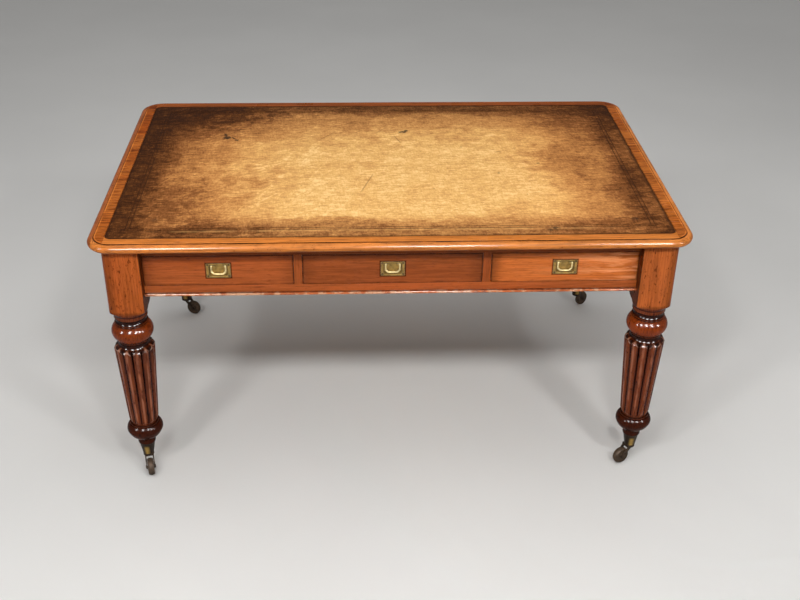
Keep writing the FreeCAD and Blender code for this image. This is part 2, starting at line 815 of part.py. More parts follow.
def build_drawer(side, bay, centre, clear_width):
    """One dovetailed drawer with its flush handle, in a frame on its front's lower edge."""
    tag = f"{side}_{bay}"
    width = clear_width - 2 * size("drawer_side_gap")
    half = width / 2
    thickness = size("front_thickness")
    wall = size("side_thickness")
    length = size("drawer_length")
    zero = as_span(0)
    groove_x = half - wall + size("groove_depth")
    bottom_y = thickness - size("groove_depth")
    bottom = box(f"bottom_{tag}", (-groove_x, bottom_y, size("bottom_lift")),
                 (2 * groove_x, length - bottom_y, size("bottom_thickness")))

    tails = {}
    walls = []
    pitch = size("side_height") / size("tail_count")
    for hand in (-1, 1):
        outer = low_end(hand, half - wall, half)
        tails[hand] = []
        for number in range(int(size("tail_count").value)):
            middle = pitch * (number + 0.5)
            tail = doc.addObject("Part::Wedge", f"tail_{tag}_{hand + 1}_{number}")
            bind(tail, Xmin=outer, Xmax=outer + wall, X2min=outer, X2max=outer + wall)
            bind(tail, Ymin=size("tail_lap"), Ymax=thickness)
            bind(tail, Zmin=middle - size("tail_tip") / 2, Zmax=middle + size("tail_tip") / 2)
            bind(tail, Z2min=middle - size("tail_root") / 2, Z2max=middle + size("tail_root") / 2)
            tails[hand].append(tail)
        board = box(f"side_board_{tag}_{hand + 1}", (outer, thickness, zero),
                    (wall, length - thickness, size("side_height")))
        tailed = fuse(f"side_tails_{tag}_{hand + 1}", [board] + tails[hand])
        walls.append(cut(f"side_{tag}_{hand + 1}", tailed, [bottom]))
    back_low = size("bottom_lift") + size("bottom_thickness")
    back_width = width - 2 * wall
    walls.append(box(f"back_{tag}", (-back_width / 2, length - wall, back_low),
                     (back_width, wall, size("side_height") - size("back_drop") - back_low)))

    board = box(f"front_board_{tag}", (-half, zero, zero), (width, thickness, front_height()))
    plate, pockets, bail = build_handle(tag, front_height() / 2)
    front = cut(f"front_{tag}", board, [bottom] + tails[-1] + tails[1] + pockets)
    sub_part(set_in_bay(front, side, centre), f"drawer_front_{tag}")
    sub_part(set_in_bay(group(f"carcass_{tag}", walls), side, centre), f"drawer_sides_{tag}")
    sub_part(set_in_bay(group(f"bottom_set_{tag}", [bottom]), side, centre), f"drawer_bottom_{tag}")
    sub_part(set_in_bay(plate, side, centre), f"handle_plate_{tag}")
    sub_part(set_in_bay(bail, side, centre), f"handle_bail_{tag}")


def upright_plate(name, width, height, radius, depth, y, z):
    """A rounded plate that stands facing -Y, from y inwards."""
    plate = rounded_plate(name, width, height, radius, depth)
    return place(plate, 0, y, z, (1, 0, 0), -90)


def build_handle(tag, z):
    """A flush handle centred at height z: dished plate with lugs and screws, its pockets, and its bail."""
    proud = size("plate_proud")
    flange = size("flange_thickness")
    wall = size("dish_wall")
    radius = size("dish_corner_radius")
    play = size("plate_clearance")
    dish = (size("dish_width"), size("dish_height"))
    shell = (dish[0] + 2 * wall, dish[1] + 2 * wall)
    plate_size = (size("plate_width"), size("plate_height"))
    floor_y = size("dish_depth") - proud
    face = upright_plate(f"flange_{tag}", *plate_size, size("plate_corner_radius"), flange, -proud, z)
    bowl = upright_plate(f"bowl_{tag}", *shell, radius + wall, floor_y + wall + proud, -proud, z)
    hollow_out = upright_plate(f"hollow_{tag}", *dish, radius, size("dish_depth"), -proud, z)

    bar = size("bail_bar")
    pivot_y = size("bail_depth") - proud
    pivot_z = z + dish[1] / 2 - size("bail_pivot_inset")
    arm_x = (size("bail_width") - bar) / 2
    lug_outer = arm_x - bar / 2 - size("bail_side_clearance")
    lug_inner = lug_outer - size("lug_thickness")
    pin = size("bail_pin")
    lug_half = size("lug_size") / 2
    lug_depth = lug_half + floor_y - pivot_y + wall / 2
    lugs = []
    eyes = []
    for hand in (-1, 1):
        low = low_end(hand, lug_inner, lug_outer)
        lugs.append(box(f"lug_{tag}_{hand + 1}", (low, pivot_y - lug_half, pivot_z - lug_half),
                        (size("lug_thickness"), lug_depth, 2 * lug_half)))
        eyes.append(rod_along_x(f"eye_{tag}_{hand + 1}", pin + 2 * size("bail_pin_clearance"),
                                low - wall, low + size("lug_thickness") + wall, pivot_y, pivot_z))

    screws = []
    screw_cuts = []
    inset = size("screw_inset")
    head_depth = size("screw_head_depth")
    for number, (hx, hz) in enumerate(((-1, -1), (1, -1), (-1, 1), (1, 1))):
        x = hx * (plate_size[0] / 2 - inset)
        screw_z = z + hz * (plate_size[1] / 2 - inset)
        head = doc.addObject("Part::Cone", f"screw_head_{tag}_{number}")
        bind(head, Radius1=size("screw_head") / 2, Radius2=size("screw_shank") / 2, Height=head_depth)
        place(head, x, -proud, screw_z, (1, 0, 0), -90)
        shank = rod_along_y(f"screw_shank_{tag}_{number}", size("screw_shank"), head_depth - proud,
                            size("screw_length") - proud, x, screw_z)
        whole = fuse(f"screw_whole_{tag}_{number}", [head, shank])
        slot = size("screw_slot")
        slit = centred_box(f"screw_slit_{tag}_{number}", x, size("screw_head"), -proud, slot * 2,
                           screw_z - slot / 2, slot)
        screws.append(cut(f"screw_{tag}_{number}", whole, [slit]))
        screw_cuts.append(whole)

    cup = cut(f"cup_{tag}", fuse(f"plate_blank_{tag}", [face, bowl]), [hollow_out])
    body = cut(f"plate_{tag}", fuse(f"plate_lugs_{tag}", [cup] + lugs), eyes + screw_cuts)
    flange_pocket = upright_plate(f"flange_pocket_{tag}", plate_size[0] + 2 * play, plate_size[1] + 2 * play,
                                  size("plate_corner_radius") + play, flange, -proud, z)
    bowl_pocket = upright_plate(f"bowl_pocket_{tag}", shell[0] + 2 * play, shell[1] + 2 * play,
                                radius + wall + play, floor_y + wall + proud + play, -proud, z)
    pockets = [flange_pocket, bowl_pocket] + screw_cuts
    plate = group(f"plate_set_{tag}", [body] + screws)
    return plate, pockets, build_bail(tag, pivot_y, pivot_z, arm_x, lug_inner)


def build_bail(tag, y, z, arm_x, pin_end):
    """The bail: two arms, a bevelled lower bar, and ends turned inwards to pins."""
    bar = size("bail_bar")
    bevel = size("bail_bevel")
    drop = size("bail_drop")
    elbow_z = z - drop + bevel
    foot_x = arm_x - bevel
    shoulder = arm_x - bar / 2
    slant = bevel * math.sqrt(2)
    pieces = [rod_along_x(f"bail_foot_{tag}", bar, -foot_x, foot_x, y, z - drop)]
    for hand in (-1, 1):
        key = f"{tag}_{hand + 1}"
        x = hand * arm_x
        pieces.append(rod(f"bail_arm_{key}", bar, drop - bevel, x, y, elbow_z))
        pieces.append(rod(f"bail_slant_{key}", bar, slant, hand * foot_x, y, z - drop, (0, 1, 0), hand * 45))
        for joint, (joint_x, joint_z) in enumerate(((x, z), (x, elbow_z), (hand * foot_x, z - drop))):
            ball = doc.addObject("Part::Sphere", f"bail_bend_{key}_{joint}")
            bind(ball, Radius=bar / 2)
            pieces.append(place(ball, joint_x, y, joint_z))
        low = low_end(hand, pin_end, arm_x)
        pieces.append(rod_along_x(f"bail_pin_{key}", size("bail_pin"), low, low + arm_x - pin_end, y, z))
        low = low_end(hand, shoulder, arm_x)
        pieces.append(rod_along_x(f"bail_boss_{key}", bar, low, low + arm_x - shoulder, y, z))
    return fuse(f"bail_{tag}", pieces)


def build_drawers():
    """Three drawers on each long side."""
    for side in SIDES:
        for bay, (centre, clear_width) in drawer_bays().items():
            build_drawer(side, bay, centre, clear_width)


def at_corner(item, corner):
    """Put a castor's piece under its leg, turned to the angle that the castor stands at."""
    sx, sy = CORNERS[corner]
    angle = size(f"castor_angle_{corner}")
    place(item, sx * leg_x, sy * leg_y, 0, angle=angle.value)
    item.setExpression("Placement.Rotation.Angle", angle.text)
    return item


def build_cups():
    """Brass cups on the leg ends, and the pintles that the forks turn on."""
    low = castor_top()
    high = cup_top()
    wall = size("cup_wall")
    top = size("cup_top_radius")
    bottom = size("cup_bottom_radius")
    slope = (top - bottom) / size("cup_height")
    rim = size("cup_rim_projection")
    rim_low = high - size("cup_rim_height")
    rim_radius = top + rim - slope * size("cup_rim_height")
    pin = size("pintle_diameter") / 2
    base_top = low + size("cup_base")
    shelf = bottom + slope * size("cup_base") - wall
    cups = []
    pintles = []
    for corner in CORNERS:
        cup = turned(f"cup_body_{corner}", [
            (top - wall, high), (top + rim, high), (rim_radius, rim_low), (rim_radius - rim, rim_low),
            (bottom, low), (pin, low), (pin, base_top), (shelf, base_top),
        ])
        cups.append(at_corner(cup, corner))
        head_high = low - size("crown_thickness") - size("pintle_end_gap")
        head_low = head_high - size("pintle_head_height")
        shank = rod(f"pintle_shank_{corner}", size("pintle_diameter"), base_top - head_high, z=head_high)
        head = rod(f"pintle_head_{corner}", size("pintle_head_diameter"), head_high - head_low, z=head_low)
        pintles.append(at_corner(fuse(f"pintle_{corner}", [shank, head]), corner))
    sub_part(group("cup_set", cups), "castor_cups")
    sub_part(group("pintle_set", pintles), "castor_pintles")


def build_castor(corner):
    """One swivelling fork with its axle, and the wheel that turns on it, trailing along +X."""
    trail = size("castor_trail")
    radius = size("wheel_diameter") / 2
    axle = size("axle_diameter")
    crown_high = castor_top()
    crown_low = crown_high - size("crown_thickness")
    gap = size("wheel_width") / 2 + size("wheel_side_gap")
    half = gap + size("arm_thickness")
    arm = size("arm_width")
    zero = as_span(0)
    crown = rod(f"crown_{corner}", size("crown_diameter"), size("crown_thickness"), z=crown_low)
    boss = rod_along_y(f"boss_{corner}", arm, -half, half, trail, radius)
    cheek = castor_arm(f"cheek_{corner}", trail, radius, crown_low, crown_high, half)
    slot = box(f"fork_slot_{corner}", (-trail, -gap, zero), (2 * trail + arm, 2 * gap, crown_low))
    pivot = rod(f"fork_pivot_{corner}", size("pintle_diameter") + 2 * size("pintle_clearance"),
                size("crown_thickness"), z=crown_low)
    axle_hole = rod_along_y(f"fork_axle_hole_{corner}", axle, -half, half, trail, radius)
    blank = fuse(f"fork_blank_{corner}", [crown, boss, cheek])
    fork = cut(f"fork_{corner}", blank, [slot, pivot, axle_hole])
    head = size("axle_head_height")
    spindle = rod_along_y(f"spindle_{corner}", axle, -half, half, trail, radius)
    caps = []
    for hand in (-1, 1):
        low = low_end(hand, half, half + head)
        cap_name = f"spindle_cap_{corner}_{hand + 1}"
        caps.append(rod_along_y(cap_name, size("axle_head_diameter"), low, low + head, trail, radius))
    pin = fuse(f"axle_{corner}", [spindle] + caps)
    sub_part(at_corner(group(f"fork_set_{corner}", [fork, pin]), corner), f"castor_fork_{corner}")

    width = size("wheel_width")
    crown_radius = rise_radius(width, size("wheel_crown"))
    tread = radius - size("wheel_crown")
    hub = size("wheel_hub_diameter") / 2
    rim = size("wheel_rim_diameter") / 2
    recess = size("wheel_face_recess")
    bore = axle / 2 + size("axle_clearance")
    side = width / 2
    wheel = turned(f"wheel_body_{corner}", [
        (bore, 2 * width), (hub, 2 * width), (hub, 2 * width - recess), (rim, 2 * width - recess),
        (rim, 2 * width), (tread, 2 * width, rounded(crown_radius)), (tread, width), (rim, width),
        (rim, width + recess), (hub, width + recess), (hub, width), (bore, width),
    ])
    place(wheel, trail, width + side, radius, (1, 0, 0), 90)
    sub_part(at_corner(group(f"wheel_set_{corner}", [wheel]), corner), f"castor_wheel_{corner}")


def castor_arm(name, trail, axle_z, low, high, half):
    """A body: the slanting web from the crown down to the axle, as wide as the fork."""
    body = doc.addObject("PartDesign::Body", name)
    sketch = new_sketch(body, "XZ_Plane")
    reach = size("crown_diameter") / 2
    heel = reach * WEB_HEEL
    arm = size("arm_width") / 2
    draw_outline(sketch, [
        (heel, high), (reach, high), (reach, low),
        (trail + arm, axle_z), (trail, axle_z - arm / 2), (heel, low),
    ])
    pad = body.newObject("PartDesign::Pad", name + "_pad")
    pad.Profile = sketch
    pad.SideType = "Symmetric"
    bind(pad, Length=2 * half)
    body.Tip = pad
    return body


def check_document():
    """Stop if any object failed or any sub-part has no sound shape."""
    for item in doc.Objects:
        if "Invalid" in item.State or "Error" in item.State:
            raise RuntimeError(f"{item.Name} failed to build")
    for item in nodes:
        if item.Shape.isNull() or not item.Shape.isValid():
            raise RuntimeError(f"{item.Label} has no valid shape")


build_top()
build_legs()
build_rails()
build_muntins()
build_beads()
build_carriage()
build_drawers()
build_cups()
for corner_name in CORNERS:
    build_castor(corner_name)
doc.recompute()
check_document()

os.makedirs("parts", exist_ok=True)
for node in nodes:
    node.Shape.exportStep(f"parts/{node.Label}.step")
print(len(nodes), "sub-parts written")
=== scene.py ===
"""Partners desk: polished mahogany, a worn leather top and aged brass, dressed over the packed frame.

Metres, in the frame's own axes: the origin is on the floor, +X runs along the desk and the front
looks along -Y. Each operator finishes one group of pieces; main() calls them in order.
"""
import math

import bpy
from bpy.props import FloatProperty, FloatVectorProperty, IntProperty, PointerProperty
from mathutils import Matrix, Vector


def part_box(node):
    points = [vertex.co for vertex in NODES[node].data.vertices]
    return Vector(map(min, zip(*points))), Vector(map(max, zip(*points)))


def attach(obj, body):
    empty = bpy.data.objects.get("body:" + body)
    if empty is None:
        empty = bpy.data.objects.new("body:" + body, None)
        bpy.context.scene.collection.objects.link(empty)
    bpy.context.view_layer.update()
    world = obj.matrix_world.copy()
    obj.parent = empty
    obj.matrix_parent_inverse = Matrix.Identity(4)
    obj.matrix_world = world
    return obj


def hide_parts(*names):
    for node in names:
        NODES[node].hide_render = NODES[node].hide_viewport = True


bl_info = {
    "name": "Partners Desk Finish",
    "version": (1, 0, 0),
    "blender": (4, 5, 0),
    "location": "3D View > Sidebar > Desk",
    "description": "Dresses a packed partners desk in mahogany, leather and brass",
    "category": "Object",
}

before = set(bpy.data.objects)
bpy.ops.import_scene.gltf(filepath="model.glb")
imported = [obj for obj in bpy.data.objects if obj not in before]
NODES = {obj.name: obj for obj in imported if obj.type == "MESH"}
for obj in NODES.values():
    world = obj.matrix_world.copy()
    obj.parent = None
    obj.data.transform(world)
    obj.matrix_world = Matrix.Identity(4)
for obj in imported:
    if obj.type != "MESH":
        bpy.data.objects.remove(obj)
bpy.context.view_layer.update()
ROOT = "desk_frame"
CORNERS = ("front_left", "front_right", "back_left", "back_right")
SIDES = ("front", "back")
BAYS = ("left", "middle", "right")
LEATHER_LOW, LEATHER_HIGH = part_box("leather_inset")
BAND_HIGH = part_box("crossbanding")[1]
EDGE_LOW, EDGE_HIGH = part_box("edge_mouldings")
DRAWER_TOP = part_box("drawer_front_front_left")[1].z
BAND_CORNER = 0.0495
LEATHER_CORNER = 0.018
# Where the end bands meet the long ones, and how many leaves of veneer they have to the metre
SEAM = LEATHER_HIGH.y - 0.02
LEAVES = 8.5
# Beyond this distance from the middle, a bead runs along Y
END_BEAD = 0.66
# Heights on a leg, from the foot of its block down to the rim of its cup
BLOCK_FOOT = 0.544
TURNINGS_LOW, TURNINGS_HIGH = 0.425, 0.535
UPPER_FILLET, LOWER_FILLET = 0.5335, 0.5205
RING_LOW, RING_HIGH = 0.452, 0.502
REED_LOW, REED_TIP, REED_HIGH = 0.172, 0.411, 0.434
FOOT_RING = 0.182
CUP_RIM = 0.08
# How many reeds a leg has, and how far their tips arch
REEDS = 12
REED_ARCH = 0.02
# The drawers that have faded, and how far
FADED_BAY = "right"
FADING = 0.75
# Places along X of the soft boxes in front, and of the cards that only polish reflects
BOX_PLACES = (-1.7, -0.63, 0.34, 1.55)
CARD_PLACES = (-3.0, -0.92, 0.26, 1.23, 3.0)


def colour(name, description, value):
    """A colour that the user may change, in linear light."""
    return FloatVectorProperty(name=name, description=description, default=value, subtype="COLOR",
                               min=0, max=1)


def length(name, description, value):
    """A length that the user may change."""
    return FloatProperty(name=name, description=description, default=value, unit="LENGTH", precision=5)


def share(name, description, value):
    """A share from 0 to 1 that the user may change."""
    return FloatProperty(name=name, description=description, default=value, min=0, max=1, subtype="FACTOR")


def power(name, description, value):
    """A lamp's power that the user may change."""
    return FloatProperty(name=name, description=description, default=value, unit="POWER")


def angle(name, description, value):
    """An angle that the user may change."""
    return FloatProperty(name=name, description=description, default=value, subtype="ANGLE")


class DeskWood(bpy.types.PropertyGroup):
    """Colours and polish of the timbers."""

    band: colour("Top", "Bands and mouldings round the leather", (0.5, 0.16, 0.029))
    frieze: colour("Frieze", "Rails, uprights, end boards and most drawers", (0.328, 0.077, 0.0172))
    pale_drawer: colour("Pale drawer", "The drawer that has faded to orange", (0.5, 0.127, 0.025))
    block: colour("Leg block", "Square head of each leg", (0.35, 0.079, 0.0145))
    pale_block: colour("Pale leg block", "Heads of the faded legs at the right end", (0.372, 0.092, 0.0195))
    turning: colour("Turning", "Rings and reeds of each leg", (0.125, 0.024, 0.005))
    bead: colour("Bead", "Worn bead under the rails", (0.42, 0.115, 0.035))
    carcass: colour("Carcass", "Dry boards and strips inside", (0.24, 0.12, 0.052))
    lining: colour("Lining", "Drawer sides and bottoms", (0.36, 0.205, 0.098))
    polish: share("Polish", "Roughness of the polished timbers", 0.3)
    wax: share("Wax", "Weight of the clear coat over the polish", 0.42)


class DeskLeather(bpy.types.PropertyGroup):
    """Cut, tooling and colours of the writing surface."""

    span: length("Length", "Along the desk", LEATHER_HIGH.x - LEATHER_LOW.x)
    depth: length("Depth", "Across the desk", LEATHER_HIGH.y - LEATHER_LOW.y)
    thickness: length("Thickness", "Of the skived hide", LEATHER_HIGH.z - LEATHER_LOW.z)
    corner: length("Corner radius", "At the four corners", LEATHER_CORNER)
    first_line: length("First line", "Tooled line's distance from the edge", 0.045)
    second_line: length("Second line", "Inner tooled line's distance from the edge", 0.055)
    line_width: length("Line width", "Half width of a tooled line", 0.0016)
    line_sink: length("Line depth", "How deep the tool was pressed", 0.0005)
    ripple: length("Ripple", "How far the hide rises and falls", 0.00012)
    seed: IntProperty(name="Seed", description="Which ripple the hide has", default=7)
    pale: colour("Pale", "Palest rubbed strokes", (0.9, 0.6, 0.26))
    worn: colour("Worn", "Where sleeves have rubbed it", (0.74, 0.42, 0.138))
    tan: colour("Tan", "Between the worn and the dark parts", (0.52, 0.24, 0.073))
    brown: colour("Brown", "Towards the edges", (0.235, 0.09, 0.026))
    dark: colour("Dark", "At the edges", (0.088, 0.03, 0.007))
    burnt: colour("Burnished", "Darkest corners and tooled lines", (0.034, 0.011, 0.0035))
    ink: colour("Ink", "Spots of old ink", (0.02, 0.013, 0.01))


class DeskMetal(bpy.types.PropertyGroup):
    """Colours of the handles and castors."""

    brass: colour("Brass", "Plates and cups", (0.285, 0.176, 0.042))
    rubbed: colour("Rubbed brass", "Bails that fingers keep bright", (0.55, 0.43, 0.2))
    tarnish: colour("Tarnish", "Brass in hollows", (0.075, 0.05, 0.016))
    bronze: colour("Bronze", "Dark sides of the cups", (0.017, 0.0085, 0.004))
    iron: colour("Iron", "Forks and pins", (0.032, 0.021, 0.014))
    tread: colour("Wheel", "Worn wheels", (0.062, 0.041, 0.027))
    screw: length("Screw head", "Diameter of the cup screws", 0.0064)
    screw_rise: length("Screw rise", "How far a cup screw's head stands out", 0.0016)
    screw_slot: length("Screw slot", "Width of a cup screw's slot", 0.0011)
    screw_height: length("Screw height", "Height of the cup screws above the floor", 0.076)
    seed: IntProperty(name="Seed", description="How the screw slots are turned", default=3)


class DeskStage(bpy.types.PropertyGroup):
    """Floor, light and camera."""

    floor: colour("Floor", "Plain pale floor", (0.7, 0.69, 0.67))
    floor_size: length("Floor size", "Side of the square floor", 60.0)
    sky: FloatProperty(name="Sky", description="Strength of the light from all round", default=0.3, min=0)
    key: power("Key", "Power of each front soft box", 27.0)
    gleam: power("Gleam", "Power of each card that only polish reflects", 105.0)
    overhead: power("Overhead", "Power of the light over the desk", 38.0)
    eye: FloatVectorProperty(name="Camera", description="Place of the camera", subtype="TRANSLATION",
                             unit="LENGTH", default=(-0.1023, -3.0194, 2.0802))
    yaw: angle("Yaw", "Turn to the right", 0.0476)
    pitch: angle("Pitch", "Tilt downwards", 0.5335)
    roll: angle("Roll", "Lean of the camera", -0.012)
    lens: FloatProperty(name="Lens", description="Focal length on a 36 mm sensor", default=50.198,
                        unit="CAMERA")


class Nodes:
    """A node tree under construction."""

    def __init__(self, tree):
        self.tree = tree

    def add(self, kind, settings=None, sockets=None, output=0):
        """Add a node with settings, and values or wires for its sockets; returns one output as a Wire."""
        node = self.tree.nodes.new(kind)
        for name, value in (settings or {}).items():
            if name == "stops":
                set_stops(node.color_ramp, value)
            else:
                setattr(node, name, value)
        for key, value in (sockets or {}).items():
            for item in value if isinstance(value, list) else [value]:
                if isinstance(item, Wire):
                    self.tree.links.new(item.socket, node.inputs[key])
                else:
                    node.inputs[key].default_value = item
        return Wire(self, node.outputs[output] if node.outputs else None)


def set_stops(ramp, stops):
    """Give a colour ramp its stops, as pairs of place and colour."""
    while len(ramp.elements) < len(stops):
        ramp.elements.new(1)
    for element, (place, tint) in zip(ramp.elements, stops):
        element.position = place
        element.color = paint(tint)


def paint(tint):
    """A colour with its alpha."""
    return (*tint, 1)


class Wire:
    """A node's output. Arithmetic on it adds Math nodes to its tree."""

    def __init__(self, nodes, socket):
        self.nodes = nodes
        self.socket = socket

    def math(self, operation, *others):
        """A Math node on this value and any others, in order."""
        return self.nodes.add("ShaderNodeMath", {"operation": operation}, dict(enumerate((self, *others))))

    def __add__(self, other):
        return self.math("ADD", other)

    def __radd__(self, other):
        return self.math("ADD", other)

    def __sub__(self, other):
        return self.math("SUBTRACT", other)

    def __rsub__(self, other):
        return self.math("MULTIPLY_ADD", -1, other)

    def __mul__(self, other):
        return self.math("MULTIPLY", other)

    def __truediv__(self, other):
        return self.math("DIVIDE", other)

    def __abs__(self):
        return self.math("ABSOLUTE")

    def most(self, other):
        """The larger of two values."""
        return self.math("MAXIMUM", other)

    def least(self, other):
        """The smaller of two values."""
        return self.math("MINIMUM", other)

    def above(self, limit):
        """1 where the value is over a limit, and 0 elsewhere."""
        return self.math("GREATER_THAN", limit)

    def ease(self, low, high):
        """A soft step from 0 at low to 1 at high; low may be the larger."""
        sockets = {"Value": self, "From Min": min(low, high), "From Max": max(low, high)}
        rising = self.nodes.add("ShaderNodeMapRange", {"interpolation_type": "SMOOTHSTEP"}, sockets)
        return rising if low < high else 1 - rising

    def near(self, value, far, close):
        """1 within a close distance of a value, easing to 0 at a far one."""
        return abs(self - value).ease(far, close)

    def within(self, low, high, soft):
        """1 between two limits, easing to 0 at them."""
        return self.ease(low, low + soft) * self.ease(high, high - soft)

    def mix(self, first, second, blend="MIX"):
        """The colour between two, with this wire as the factor."""
        settings = {"data_type": "RGBA", "blend_type": blend}
        return self.nodes.add("ShaderNodeMix", settings, {0: self, 6: first, 7: second}, 2)

    def parts(self):
        """X, Y and Z of a vector."""
        split = self.nodes.add("ShaderNodeSeparateXYZ", None, {0: self}).socket.node
        return [Wire(self.nodes, out) for out in split.outputs]

    def stretched(self, scale, turn=0.0):
        """A vector scaled on each axis, or alike on all three, after a turn about Z."""
        turned = self
        if turn:
            turned = self.nodes.add("ShaderNodeMapping", {"vector_type": "TEXTURE"},
                                    {"Vector": self, "Rotation": (0, 0, turn)})
        factors = scale if isinstance(scale, tuple) else (scale, scale, scale)
        return self.nodes.add("ShaderNodeVectorMath", {"operation": "MULTIPLY"}, {0: turned, 1: factors})

    def noise(self, scale, detail=3.0, rough=0.5, warp=0.0, turn=0.0):
        """Noise from 0 to 1 on a vector, with its cells this many to the metre on each axis."""
        sockets = {"Vector": self.stretched(scale, turn), "Scale": 1.0, "Detail": detail, "Roughness": rough,
                   "Distortion": warp}
        return self.nodes.add("ShaderNodeTexNoise", None, sockets)


def diagonal(x, y):
    """Length of a vector with these two parts."""
    return (x * x + y * y).math("SQRT")


class Finish:
    """A material under construction, with the fields that several finishes share."""

    def __init__(self, name):
        self.material = bpy.data.materials.new(name)
        self.material.use_nodes = True
        self.material.node_tree.nodes.clear()
        self.nodes = Nodes(self.material.node_tree)
        self.place = self.nodes.add("ShaderNodeTexCoord", output="Object")
        self.x, self.y, self.z = self.place.parts()

    def noise(self, *shape, **turned):
        """Noise on the piece's own coordinates."""
        return self.place.noise(*shape, **turned)

    def along(self, axis):
        """Coordinates whose X runs along the grain."""
        order = {"x": (self.x, self.y, self.z), "y": (self.y, self.x, self.z), "z": (self.z, self.x, self.y)}
        return self.nodes.add("ShaderNodeCombineXYZ", None, dict(enumerate(order[axis])))

    def soft_normal(self, radius):
        """The normal with its arrises rounded over."""
        return self.nodes.add("ShaderNodeBevel", {"samples": 4}, {"Radius": radius})

    def arris(self, radius):
        """1 along sharp edges and 0 on flats."""
        facing = self.nodes.add("ShaderNodeNewGeometry", output="Normal")
        dot = self.nodes.add("ShaderNodeVectorMath", {"operation": "DOT_PRODUCT"},
                             {0: self.soft_normal(radius), 1: facing}, 1)
        return dot.ease(0.98, 0.75)

    def hollow(self, distance):
        """1 deep in a corner or recess of the piece and 0 in the open."""
        settings = {"samples": 8, "only_local": True}
        open_sky = self.nodes.add("ShaderNodeAmbientOcclusion", settings, {"Distance": distance}, "AO")
        return open_sky.ease(0.9, 0.25)

    def from_edge(self, half_x, half_y, radius):
        """Distance inside a rounded rectangle round the origin, negative outside it."""
        over_x = abs(self.x) - (half_x - radius)
        over_y = abs(self.y) - (half_y - radius)
        outside = diagonal(over_x.most(0), over_y.most(0))
        return radius - outside - over_x.most(over_y).least(0)

    def spot(self, x, y, radius, ragged):
        """A round stain with a ragged edge."""
        reach = diagonal(self.x - x, self.y - y) + (ragged - 0.5) * (radius * 2.4)
        return reach.ease(radius, radius * 0.35)

    def stroke(self, start_x, start_y, end_x, end_y, width):
        """A straight scratch between two points that fades at its ends."""
        run = Vector((end_x - start_x, end_y - start_y))
        along_x, along_y = run.normalized()
        away_x = self.x - start_x
        away_y = self.y - start_y
        travel = (away_x * along_x + away_y * along_y) / run.length
        aside = abs(away_y * along_x - away_x * along_y)
        return aside.ease(width, width * 0.2) * travel.within(-0.1, 1.1, 0.3)

    def strokes(self, rows):
        """All the strokes of a list."""
        mask = 0
        for row in rows:
            mask = self.stroke(*row).most(mask)
        return mask

    def score(self, scale, turn, width):
        """Long thin curved marks, as the level lines of a stretched noise."""
        return self.noise(scale, 2, 0.5, 0.4, turn).near(0.5, width, width * 0.2)

    def done(self, base, rough, gloss, metal=0.0, coat=0.0, haze=0.075, height=None, depth=0.0, normal=None):
        """Finish the material with one shader: gloss is the strength of its reflections, and haze the
        roughness of its clear coat.
        """
        sockets = {"Base Color": base, "Roughness": rough, "Metallic": metal, "Coat Weight": coat,
                   "Coat Roughness": haze, "Specular IOR Level": gloss}
        if height is not None:
            bumped = {"Height": height, "Distance": depth, "Strength": 1.0}
            if normal is not None:
                bumped["Normal"] = normal
            normal = self.nodes.add("ShaderNodeBump", None, bumped)
        if normal is not None:
            sockets["Normal"] = normal
        shader = self.nodes.add("ShaderNodeBsdfPrincipled", None, sockets)
        self.nodes.add("ShaderNodeOutputMaterial", None, {"Surface": shader})
        return self.material


def shade(tint, factor):
    """A colour made lighter or darker."""
    return tuple(min(1.0, part * factor) for part in tint)


def middle(name):
    """Centre of a node's box."""
    low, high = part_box(name)
    return (low + high) / 2


def stained(base, mask, tint):
    """Base colour multiplied by a tint where the mask is 1."""
    return mask.mix(base, paint(tint), "MULTIPLY")


def covered(base, mask, tint):
    """Base colour replaced by a tint where the mask is 1."""
    return mask.mix(base, paint(tint))


def dirt_and_shade(base, mask, depth=0.85):
    """Base colour darkened by old wax and dirt."""
    return stained(base, mask * depth, (0.1, 0.066, 0.05))


def grain_tone(grain):
    """Figure, streaks and pores of wood, each from 0 to 1."""
    figure = grain.noise((1.6, 19, 19), 4, 0.55, 0.8)
    streaks = grain.noise((11, 260, 260), 4, 0.7, 0.2)
    pores = grain.noise((42, 330, 330), 3, 0.65).ease(0.56, 0.68)
    return figure, streaks, pores


def timber(grain, tint, contrast=0.3):
    """Base colour of mahogany of this colour, with its streaks and pores."""
    figure, streaks, pores = grain_tone(grain)
    tone = (figure * 0.32 + streaks * 0.68).ease(0.38, 0.62)
    base = tone.mix(paint(shade(tint, 1 - contrast)), paint(shade(tint, 1 + contrast)))
    redder = grain.noise((0.9, 9, 9), 2).ease(0.45, 0.7) * 0.35
    base = stained(base, redder, (1.0, 0.8, 0.72))
    base = stained(base, pores * 0.5, (0.4, 0.32, 0.28))
    return base, streaks, pores


def polished(finish, base, streaks, pores, wood, arris_radius=0.0009, coat=1.0, haze=0.075):
    """Close a polished timber: uneven gloss, open pores and softened arrises; coat scales the wax."""
    bloom = finish.noise(7, 3).ease(0.3, 0.75)
    rough = wood.polish - 0.06 + bloom * 0.12 + pores * 0.12
    height = streaks * 0.25 - pores * 0.6
    normal = finish.soft_normal(arris_radius)
    return finish.done(base, rough, 0.02, coat=coat * wood.wax, haze=haze,
                       height=height, depth=0.00018, normal=normal)


